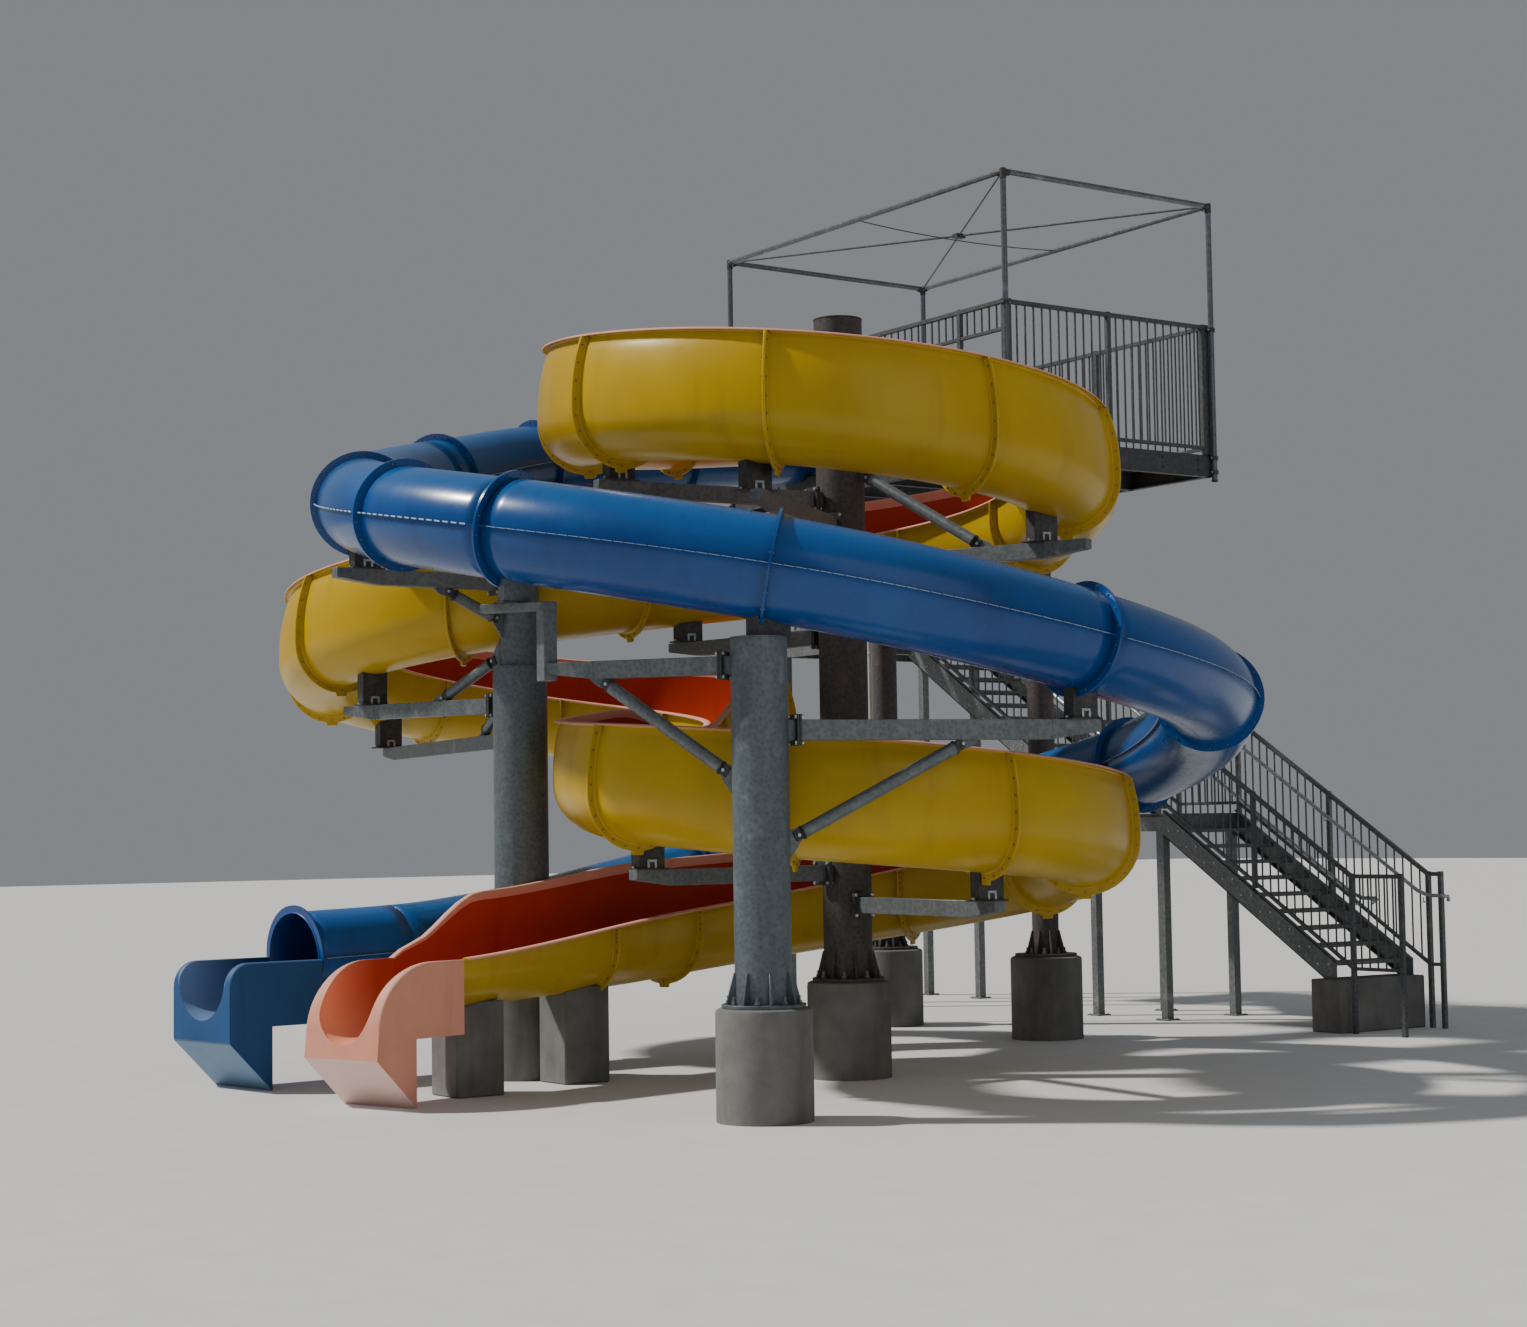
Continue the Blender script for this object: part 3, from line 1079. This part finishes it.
def arm(column, reach, top, saddles=(), braced=None, width=0.11, depth=0.14):
    """saddles lists (place, upper limit). braced is (height on the column, place under the beam)."""
    piece = steel[column]
    x, y, radius, shaft_top, _ = COLUMNS[column]
    column_radius = radius if top < shaft_top else NECK_RADIUS
    middle = top - depth / 2
    axis, tip = on_deck(x, y, middle), on_deck(*reach, middle)
    along = (tip - axis).normalized()
    across = along.cross(UP)
    face = axis + along * (column_radius + COLLAR)
    piece.bar(axis + along * (column_radius - 0.02), face, width, depth, 0)
    for start, end in END_PLATES:
        piece.bar(face + along * start, face + along * end, width + PLATE_WIDER, depth + PLATE_TALLER, 2)
    taper_from = tip - along * TIP_TAPER
    piece.bar(face + along * 0.036, taper_from, width, depth, 1)
    whole = [(a * width / 2, b * depth / 2) for a, b in SQUARE]
    thin = [(a, max(b, (0.5 - TIP_SHARE) * depth)) for a, b in whole]
    ends = ((taper_from, whole), (tip, thin))
    piece.loft([[p + across * a + UP * b for a, b in section] for p, section in ends], 1)
    for a, b in ((-1, -1), (-1, 1), (1, -1), (1, 1)):
        spot = face + across * (a * (width / 2 + 0.027)) + UP * (b * (depth / 2 + 0.020))
        steel_bolts.extend([(spot + along * END_PLATES[1][1], along), (spot, -along)])
    for place, over in saddles:
        clipped_saddle(piece, place, over, top)
    if braced:
        brace(piece, on_deck(x, y, braced[0]), on_deck(*braced[1], middle), column_radius, depth / 2)


arm("front", (-3.660, -0.980), 3.00, braced=(1.91, (-3.452, -1.270)))
arm("front", (0.060, -3.323), 2.50, [((-0.082, -3.276), 2.95)], (1.46, (-0.843, -3.022)), 0.12, 0.16)
arm("centre", (0.896, -2.334), 4.10, [((0.735, -1.914), 4.50)], (5.00, (0.573, -1.494)))
arm("centre", (-2.437, 0.256), 4.70, [((-2.218, 0.233), 5.05)])
arm("centre", (-1.957, -1.474), 4.45, [((-1.850, -1.310), 4.85)])
arm("centre", (-0.330, 2.330), 3.48, [((-0.300, 2.100), 3.85)])
arm("centre", (-0.360, -2.560), 1.05, [((-0.323, -2.352), 1.45)])
arm("centre", (-2.440, -0.275), 1.34, [((-2.277, -0.257), 1.70)])
arm("left", (-4.050, 2.060), 4.03, [((-3.750, 2.060), 4.45)], (3.52, (-3.150, 2.050)))
arm("left", (-2.900, 4.190), 2.92, [((-2.790, 3.870), 3.45)], (3.42, (-2.560, 3.160)))
arm("left", (-1.420, 6.280), 2.60, [((-1.450, 6.200), 3.10)], (3.08, (-1.960, 3.300)))
arm("platform_south", (2.790, 1.830), 1.22, [((2.920, 1.860), 1.65)])

# %% [markdown]
# The front column has two special heads. One arm ends in an upright stub with a short level beam on it,
# which reaches in under the tube. The column's own top carries a low block. Both hold the tube.

# %% Heads of the front column, and the finished steel
front = steel["front"]
STUB, HEAD = (-3.66, -0.98), (-3.824, -0.751)
front.bar(on_deck(*STUB, 2.86), on_deck(*STUB, 3.49), 0.12, 0.12, 1)
front.bar(on_deck(*STUB, 3.455), on_deck(-3.98, -0.52, 3.455), 0.11, 0.068, 1)
saddle(front, HEAD, 3.49, 3.75, (0.24, 0.10), 1)
front.bar(on_deck(*HEAD, 3.486), on_deck(*HEAD, 3.502), 0.29, 0.15, 2)
saddle(front, (-2.56, -2.48), 3.12, 3.42, (0.30, 0.18), 2)
for name, shaft in steel.items():
    finishes = [COLUMNS[name][-1], arm_steel, clamp_steel, bright_steel]
    shaft.deliver(name + "_column_steel", finishes, "galvanised_steel", [name + "_column"], bevel=0.003)
studs("arm_bolts", steel_bolts, 0.030, 0.016, 6, bright_steel)

# %% Low blocks under the last run
BLOCK_SIZE = (0.46, 0.46)
for number, distance in enumerate((45.869, 47.219), 1):
    x, y, _ = place_on(flume_route, distance)
    block = Piece()
    saddle(block, (x, y), -DECK, flume_height(distance) + 0.06, BLOCK_SIZE, 0, 16)
    name = "run_block_%d" % number
    block.deliver(name + "_cast", [concrete], "concrete", [name], bevel=0.012, sharp=50)

# %% [markdown]
# The platform is a frame of rolled channels with their webs outwards, with four joists between them. Its
# floor is laid in planks that leave a narrow joint, so that water runs off. Channels are bought by the
# metre and bolted at the corners, which is why the frame shows flanges and cleats from below.

# %% Platform
CHANNEL_FLANGE, PLATFORM_DEPTH, FLOOR_THICK = 0.070, 0.230, 0.040
JOIST_YS = (2.05, 2.95, 3.85, 4.75)
BOLT_LEVELS = (JOIST_LOW + 0.06, JOIST_LOW + 0.17)
PLANKS, PLANK_GAP = 16, 0.003


def channel_frame(piece, low, high, depth):
    """Four channels round a rectangle, webs outwards, with their tops at the height of the corner high."""
    corners = [Vector((x, y, high.z)) for x in (low.x, high.x) for y in (low.y, high.y)]
    south_west, north_west, south_east, north_east = corners
    gap = X_AXIS * 0.011
    piece.channel(south_west, north_west, X_AXIS, depth, CHANNEL_FLANGE)
    piece.channel(south_east, north_east, -X_AXIS, depth, CHANNEL_FLANGE)
    piece.channel(south_west + gap, south_east - gap, Y_AXIS, depth, CHANNEL_FLANGE)
    piece.channel(north_west + gap, north_east - gap, -Y_AXIS, depth, CHANNEL_FLANGE)


def crosswise(piece, inset, y, z, width, depth):
    start, end = on_deck(PLATFORM_WEST + inset, y, z), on_deck(PLATFORM_EAST - inset, y, z)
    piece.bar(start, end, width, depth)


platform_low = on_deck(PLATFORM_WEST, PLATFORM_SOUTH, 0)
platform_high = on_deck(PLATFORM_EAST, PLATFORM_NORTH, PLATFORM_TOP)
channels = Piece()
channel_frame(channels, platform_low, platform_high, PLATFORM_DEPTH)
joist_top = PLATFORM_TOP - FLOOR_THICK - SEAT
joist_middle = (joist_top + JOIST_LOW) / 2
for y in JOIST_YS:
    crosswise(channels, 0.012, y, joist_top - 0.006, 0.07, 0.012)
    crosswise(channels, 0.012, y, JOIST_LOW + 0.006, 0.07, 0.012)
    crosswise(channels, 0.01, y, joist_middle, 0.009, joist_top - JOIST_LOW - 0.02)
    for x in (PLATFORM_WEST + 0.045, PLATFORM_EAST - 0.045):
        channels.bar(on_deck(x, y + 0.012, joist_middle), on_deck(x, y + 0.020, joist_middle), 0.066, 0.13)
channels.deliver("platform_channels", [frame_steel], "dark_steel", ["platform_frame"], bevel=0.002)

bolt_xs = (PLATFORM_WEST + 0.2, 3.4, 4.82, PLATFORM_EAST - 0.2)
frame_bolts = [(on_deck(x, PLATFORM_SOUTH, z), -Y_AXIS) for x in bolt_xs for z in BOLT_LEVELS]
frame_bolts += [(on_deck(PLATFORM_WEST, y + 0.03, z), -X_AXIS) for y in JOIST_YS for z in BOLT_LEVELS]
studs("platform_frame_bolts", frame_bolts, 0.030, 0.010, 6, frame_steel)

planks = Piece()
floor_west, floor_east = PLATFORM_WEST + CHANNEL_FLANGE + SEAT, PLATFORM_EAST - CHANNEL_FLANGE - SEAT
floor_south, floor_north = PLATFORM_SOUTH + CHANNEL_FLANGE + SEAT, PLATFORM_NORTH - CHANNEL_FLANGE - SEAT
plank_run = (floor_north - floor_south) / PLANKS
for i in range(PLANKS):
    near = floor_south + i * plank_run + (PLANK_GAP if i else 0)
    far = floor_south + (i + 1) * plank_run - (PLANK_GAP if i < PLANKS - 1 else 0)
    low, high = on_deck(floor_west, near, PLATFORM_TOP - FLOOR_THICK), on_deck(floor_east, far, PLATFORM_TOP)
    planks.block(low, high)
planks.deliver("platform_planks", [stair_steel], "dark_steel", ["platform_deck"], bevel=0.003)

# %% [markdown]
# All railings are one family: square posts, a top and a bottom rail, and slim pickets about a hand's
# width apart, as a railing over a drop needs. The rails are bars between feet. The pickets are grown:
# each point sits halfway up its picket and carries its length.

# %% Railings
POST, POST_CAP, RAIL, THIN_RAIL = 0.050, 0.008, 0.044, 0.036
POST_FOOT_LONG, POST_FOOT_WIDE = 0.100, 0.095
PICKET, PICKET_SIDES, PICKET_BAY = 0.018, 10, 0.348
RIM_HEIGHT, STAIR_HEIGHT = 1.390, 1.110
LOW_RAIL, STAIR_LOW_RAIL = 0.080, 0.120
RAIL_FOOT = PLATFORM_TOP + SEAT
STAIR_SLOPE = 0.179 / 0.280
rail_bolts = []


def between(start, end, bays):
    return [start.lerp(end, i / bays) for i in range(bays + 1)]


def railing(name, feet, height, bottom, material, drops=0.0):
    """drops says how far below its foot a post goes on, or starts above it: for all posts or for each."""
    piece = Piece()
    pickets = []
    for foot, drop in zip(feet, drops if isinstance(drops, list) else [drops] * len(feet)):
        base, head = foot - UP * drop, foot + UP * height
        piece.bar(base, head, POST, POST)
        piece.bar(head, foot + UP * (height + POST_CAP), POST, POST)
        if abs(drop) <= SEAT:
            piece.bar(base, base + UP * POST_CAP, POST_FOOT_LONG, POST_FOOT_WIDE)
    tall = height - RAIL / 2 - bottom
    for a, b in zip(feet, feet[1:]):
        piece.bar(a + UP * (height - RAIL / 2), b + UP * (height - RAIL / 2), RAIL, RAIL)
        piece.bar(a + UP * bottom, b + UP * bottom, THIN_RAIL, THIN_RAIL)
        count = 3 * round(Vector((b.x - a.x, b.y - a.y, 0)).length / PICKET_BAY)
        pickets += [a.lerp(b, k / count) + UP * (bottom + tall / 2) for k in range(1, count)]
    piece.deliver(name + "_bars", [material], "dark_steel", [name], bevel=0.003)
    values = {"Thickness": PICKET * 1.12, "Sides": PICKET_SIDES, "Finish": material}
    grown = grow(name + "_pickets", bar_tree, pickets, values, tall=[tall] * len(pickets))
    smooth(grown.data, 50)
    arrive(grown)


rail_west, rail_east = PLATFORM_WEST + 0.030, PLATFORM_EAST - 0.030
rail_south, rail_north = PLATFORM_SOUTH + 0.030, PLATFORM_NORTH - 0.030
inset = POST + SEAT
for name, y in (("south_railing", rail_south), ("north_railing", rail_north)):
    feet = between(on_deck(rail_west + inset, y, RAIL_FOOT), on_deck(rail_east - inset, y, RAIL_FOOT), 2)
    railing(name, feet, RIM_HEIGHT, LOW_RAIL, rail_steel)
feet = between(on_deck(rail_east, rail_south, RAIL_FOOT), on_deck(rail_east, 4.280, RAIL_FOOT), 2)
railing("east_railing", feet, RIM_HEIGHT, LOW_RAIL, rail_steel)
feet = [on_deck(rail_west, y, RAIL_FOOT) for y in (rail_south, 1.560, 3.270, 5.030, rail_north)]
railing("west_railing", feet, RIM_HEIGHT, RIM_HEIGHT - 0.300, rail_steel)
feet = [on_deck(x, y, RAIL_FOOT) for x, y in ((6.670, 5.620), (6.670, 4.360), (5.570, 4.360))]
railing("top_landing_railing", feet, RIM_HEIGHT, LOW_RAIL, rail_steel)


def nosing(x, y):
    """A point on the line of the stair's nosings, over the lower or the middle flight."""
    return on_deck(x, y, (y - 0.170) * STAIR_SLOPE if y < 3.5 else 1.790 + (y - 3.970) * STAIR_SLOPE)


def last_nosing(x, y):
    return on_deck(x, y, 4.117 + (7.610 + 0.280 - y) * STAIR_SLOPE)


ON_STRINGER = -(0.040 + STAIR_SLOPE * POST / 2 + SEAT)
BESIDE = 0.120
near_x, far_x = 6.7475, 7.9453
for name, x, first_y, drop, knee, material in (
    ("near_stair_railing", near_x, -0.5, ON_STRINGER, -SEAT, rail_steel),
    ("far_stair_railing", far_x, 0.0, BESIDE, BESIDE, stair_steel),
):
    feet = [on_deck(x, first_y, 0), on_deck(x, 0.170, 0)]
    feet += between(nosing(x, 0.170), nosing(x, 2.970), 2)[1:]
    feet += between(nosing(x, 3.970), nosing(x, 7.580), 3)
    drops = [DECK, DECK, drop, drop, knee, drop, drop, drop]
    railing(name, feet, STAIR_HEIGHT, STAIR_LOW_RAIL, material, drops)
out_y, in_x = 8.8353, 5.5047
feet = [(far_x, 7.670), (far_x, out_y), ((far_x + in_x) / 2, out_y), (in_x, out_y), (in_x, 7.640)]
feet = [on_deck(x, y, 4.117) for x, y in feet]
railing("north_landing_railing", feet, STAIR_HEIGHT, STAIR_LOW_RAIL, stair_steel, BESIDE)
for name, x, last_y, drop in (
    ("upper_near_railing", 5.5347, 5.750, BESIDE),
    ("upper_far_railing", 6.6525, 5.930, ON_STRINGER),
):
    feet = between(last_nosing(x, 7.570), last_nosing(x, last_y), 2)
    railing(name, feet, STAIR_HEIGHT, STAIR_LOW_RAIL, rail_steel, drop)

# %% [markdown]
# Over the platform stands a bare frame of galvanised tube that once held a sunshade. Tube frames like
# this are cut and pushed into cast corner fittings, so the corners show as thicker sleeves. Two rods
# cross in the middle of the roof, and a slack cable still runs through their joint.

# %% Canopy frame
CANOPY_TOP, CANOPY_FOOT, CANOPY_RADIUS = 8.250, 5.270, 0.030
SLEEVE_RADIUS, SLEEVE_LENGTH = CANOPY_RADIUS + 0.004, 0.075
CLAMP_LEVELS = (CANOPY_FOOT + 0.10, RAIL_FOOT - 0.03, RAIL_FOOT + RIM_HEIGHT - 0.05)
ROUND = 24
west, east = PLATFORM_WEST, PLATFORM_EAST
south, north = PLATFORM_SOUTH - CANOPY_RADIUS - SEAT, PLATFORM_NORTH + CANOPY_RADIUS + SEAT
tubes = Piece()
sleeve_bolts = []


def roof(x, y, drop=0.0):
    return on_deck(x, y, CANOPY_TOP - CANOPY_RADIUS - drop)


for x, inward_x in ((west, X_AXIS), (east, -X_AXIS)):
    tubes.pipe([roof(x, south), roof(x, north)], CANOPY_RADIUS, ROUND)
    for y, inward_y in ((south, Y_AXIS), (north, -Y_AXIS)):
        tubes.upright(x, y, (CANOPY_FOOT, CANOPY_TOP - 0.002), CANOPY_RADIUS, ROUND)
        tubes.upright(x, y, (CANOPY_FOOT, CANOPY_FOOT + 0.02), CANOPY_RADIUS + 0.005, ROUND, 1)
        tubes.pipe([roof(x, y, SLEEVE_LENGTH), roof(x, y, -CANOPY_RADIUS)], SLEEVE_RADIUS, ROUND, 1)
        corner = roof(x, y, 0.006)
        for way in (inward_x, inward_y):
            tubes.pipe([corner, corner + way * SLEEVE_LENGTH], SLEEVE_RADIUS, ROUND, 1)
            sleeve_bolts.append((corner + way * 0.055 - UP * SLEEVE_RADIUS, -UP))
        for z in CLAMP_LEVELS:
            tubes.upright(x, y, (z - 0.022, z + 0.022), CANOPY_RADIUS + 0.007, ROUND, 1)
            tubes.bar(on_deck(x, y, z) - X_AXIS * 0.055, on_deck(x, y, z) + X_AXIS * 0.055, 0.012, 0.044, 1)
            sleeve_bolts += [(on_deck(x + a, y, z) - inward_y * 0.006, -inward_y) for a in (-0.046, 0.046)]
for y in (south, north):
    tubes.pipe([roof(west, y), roof(east, y)], CANOPY_RADIUS, ROUND)
tubes.pipe([roof(west, north), roof(east, south)], 0.012, 12)
tubes.pipe([roof(west, south), roof(east, north)], 0.009, 12, 1)
middle_x, middle_y = (west + east) / 2, (south + north) / 2
tubes.bar(roof(middle_x - 0.06, middle_y, 0.004), roof(middle_x + 0.06, middle_y, 0.004), 0.09, 0.045, 1)
tubes.deliver("canopy_tubes", [canopy_steel, clamp_steel], "bright_tube", ["canopy_frame"], sharp=45)
studs("canopy_bolts", sleeve_bolts, 0.016, 0.008, 6, bright_steel)

CABLE_SAG, CABLE_STEPS = 0.055, 24
shares = [i / CABLE_STEPS for i in range(CABLE_STEPS + 1)]
cable_points = [roof(west + (east - west) * t, middle_y, 4 * CABLE_SAG * t * (1 - t)) for t in shares]
arrive(skin_along("canopy_cable", cable_points, 0.006, 8, clamp_steel))

# %% [markdown]
# A plastic pipe brings the water up to the platform. Where two lengths meet, a coupling is pushed over
# both ends, and pipe clips hold it on its way up.

# %% Water riser
RISER_X, RISER_Y, RISER_RADIUS, RISER_SIDES = 4.260, 5.210, 0.031, 32
COLLARS = [(2.370, 0.070, 0.042), (5.0, 0.03, 0.038), (3.7, 0.02, 0.036), (0.9, 0.02, 0.036)]
riser = Piece()
riser.upright(RISER_X, RISER_Y, (-DECK, joist_top), RISER_RADIUS, RISER_SIDES)
for z, half_tall, reach in COLLARS:
    heights = [z - half_tall, z - half_tall + 0.006, z + half_tall - 0.006, z + half_tall]
    riser.upright(RISER_X, RISER_Y, heights, [reach - 0.004, reach, reach, reach - 0.004], RISER_SIDES)
riser.deliver("water_pipe", [white_plastic], "white_plastic", ["water_riser"], sharp=50)

# %% [markdown]
# The stair climbs in three flights. Each has two channel stringers and, between them, open treads:
# folded steel pans with raised grip buttons. Folding gives a thin sheet its stiffness, which is why such
# pans can span over a metre. The landings repeat the platform's make on square legs.

# %% Stair flights
RISER, GOING, NOSING, TREAD = 0.179, 0.280, 0.020, 0.040
STRINGER_FLANGE, STRINGER_DEPTH, STRINGER_RIM = 0.055, 0.290, 0.040
WEB, SLANTED_FLANGE, SHEET = 0.010, 0.0168, 0.004
BUTTON_GAP, BUTTON_EDGE = 0.055, 0.025
grips = []


def grip_grid(corner, along, length, across, width):
    """Button places over a rectangle, kept a little off its edges."""
    length, width = length - 2 * BUTTON_EDGE, width - 2 * BUTTON_EDGE
    rows, columns = max(2, round(length / BUTTON_GAP)), round(width / BUTTON_GAP)
    for i in range(rows + 1):
        for k in range(columns + 1):
            a, b = BUTTON_EDGE + length * i / rows, BUTTON_EDGE + width * k / columns
            grips.append((corner + along * a + across * b, UP))


def flight(name, steps, width, on_ground, foot, across, ahead):
    piece = Piece()
    end = (steps - 1) * GOING - SEAT
    back = -0.060 if on_ground else SEAT
    back_rim, end_rim = [RISER + STRINGER_RIM + STAIR_SLOPE * b for b in (back, end)]
    crossing = (STRINGER_DEPTH - RISER - STRINGER_RIM) / STAIR_SLOPE
    low_edge = [(back, 0.0), (crossing, 0.0), (end, end_rim - STRINGER_DEPTH)]
    high_edge = [(end, end_rim), (back, back_rim)]
    for side, inward in ((0.0, across), (width, -across)):
        corner = foot + across * side
        piece.prism(low_edge + high_edge, corner, ahead, UP, inward * WEB)
        for edge, rise in ((high_edge, -SLANTED_FLANGE), (low_edge[-2:], SLANTED_FLANGE)):
            flange = edge + [(b, c + rise) for b, c in edge[::-1]]
            piece.prism(flange, corner, ahead, UP, inward * STRINGER_FLANGE)
    inside = width - 2 * STRINGER_FLANGE
    for i in range(1, steps):
        near = max((i - 1) * GOING - (NOSING if i > 1 else 0), SEAT)
        far = min(i * GOING, end)
        top = i * RISER
        low = top - TREAD
        pan = [(near, low), (near, top), (far, top), (far, low), (far - SHEET, low)]
        pan += [(far - SHEET, top - SHEET), (near + SHEET, top - SHEET), (near + SHEET, low)]
        corner = foot + across * (STRINGER_FLANGE - 0.002)
        piece.prism(pan, corner, ahead, UP, across * (inside + 0.004))
        grip_grid(corner + ahead * near + UP * top, ahead, far - near, across, inside)
        for side, inward in ((0.0, across), (width, -across)):
            web = foot + across * side + ahead * near + UP * low
            start = web + inward * (WEB + 0.022) + ahead * 0.03 + UP * 0.010
            piece.bar(start, start + ahead * (far - near - 0.06), 0.044, 0.022)
            rail_bolts.extend((web + ahead * b + UP * 0.02, -inward) for b in (0.05, 0.20))
    piece.deliver(name + "_steel", [stair_steel], "galvanised_steel", [name], bevel=0.0015)


flight("lower_flight", 10, 1.20, True, on_deck(6.720, 0.450, 0), X_AXIS, Y_AXIS)
flight("middle_flight", 13, 1.20, False, on_deck(6.720, 4.250, 1.790), X_AXIS, Y_AXIS)
flight("upper_flight", 8, 1.12, False, on_deck(6.680, 7.610, 4.117), -X_AXIS, -Y_AXIS)

# %% Landings
LANDING_DEPTH, LEG, LEG_INSET = 0.200, 0.100, 0.06


def stair_landing(name, low, high, on_legs=True):
    piece = Piece()
    piece.block(Vector((low.x, low.y, high.z - FLOOR_THICK)), high)
    channel_frame(piece, low, high - UP * 0.004, LANDING_DEPTH - 0.004)
    for x in (low.x + LEG_INSET, high.x - LEG_INSET) if on_legs else ():
        for y in (low.y + LEG_INSET, high.y - LEG_INSET):
            foot = Vector((x, y, 0))
            piece.bar(foot, Vector((x, y, high.z - LANDING_DEPTH + 0.05)), LEG, LEG)
            piece.bar(foot, foot + UP * 0.015, LEG + 0.10, LEG + 0.10)
            for a, b in ((-1, -1), (-1, 1), (1, -1), (1, 1)):
                rail_bolts.append((foot + Vector((a * 0.075, b * 0.075, 0.015)), UP))
    corner = Vector((low.x + 0.03, low.y + 0.03, high.z))
    grip_grid(corner, Y_AXIS, high.y - low.y - 0.06, X_AXIS, high.x - low.x - 0.06)
    piece.deliver(name + "_steel", [stair_steel], "galvanised_steel", [name], bevel=0.002)


stair_landing("lower_landing", on_deck(6.720, 2.970, 0), on_deck(7.920, 4.250, 1.790))
stair_landing("north_landing", on_deck(5.530, 7.610, 0), on_deck(7.920, 8.810, 4.117))
stair_landing("top_landing", on_deck(5.5303, 4.330, 0), on_deck(6.700, 5.650, 5.550), on_legs=False)
studs("tread_grips", grips, 0.020, 0.0025, 6, stair_steel)

footing = Piece()
footing.block(on_deck(6.660, 0.290, -DECK), on_deck(7.980, 0.710, -SEAT))
footing.deliver("stair_footing_cast", [concrete], "concrete", ["stair_footing"], bevel=0.012)

# %% [markdown]
# A bright handrail runs inside each railing of the stair, lower than the top rail. It is one bent pipe
# on small brackets, so a tree sweeps it along its path.

# %% Handrails of the stair
HAND_HEIGHT, HAND_RADIUS, HAND_OFFSET = 0.860, 0.021, 0.085
HOLDER_YS = (0.170, 1.570, 2.970, 3.970, 5.173, 6.377, 7.580)
holders = Piece()
for name, x, post_x in (("near", near_x + HAND_OFFSET, near_x), ("far", far_x - HAND_OFFSET, far_x)):
    path_points = [on_deck(post_x, -0.10, HAND_HEIGHT - 0.05)]
    path_points.append(on_deck((x + post_x) / 2, -0.13, HAND_HEIGHT - 0.01))
    path_points += [on_deck(x, -0.08, HAND_HEIGHT), on_deck(x, 0.10, HAND_HEIGHT)]
    path_points += [nosing(x, y) + UP * HAND_HEIGHT for y in (0.25, 1.57, 2.88)]
    path_points += [on_deck(x, y, 1.790 + HAND_HEIGHT) for y in (3.03, 3.90)]
    path_points += [nosing(x, y) + UP * HAND_HEIGHT for y in (4.04, 5.77, 7.56)]
    arrive(skin_along(name + "_handrail", path_points, HAND_RADIUS, 20, bright_steel))
    for y in HOLDER_YS:
        under = nosing(x, y) + UP * (HAND_HEIGHT - HAND_RADIUS)
        low = under.z - 0.05
        holders.pipe([Vector((post_x, under.y, low)), Vector((x, under.y, low)), under], 0.008, 8)
holders.deliver("handrail_holders", [bright_steel], "bright_tube")
studs("stair_bolts", rail_bolts, 0.022, 0.010, 6, bright_steel)
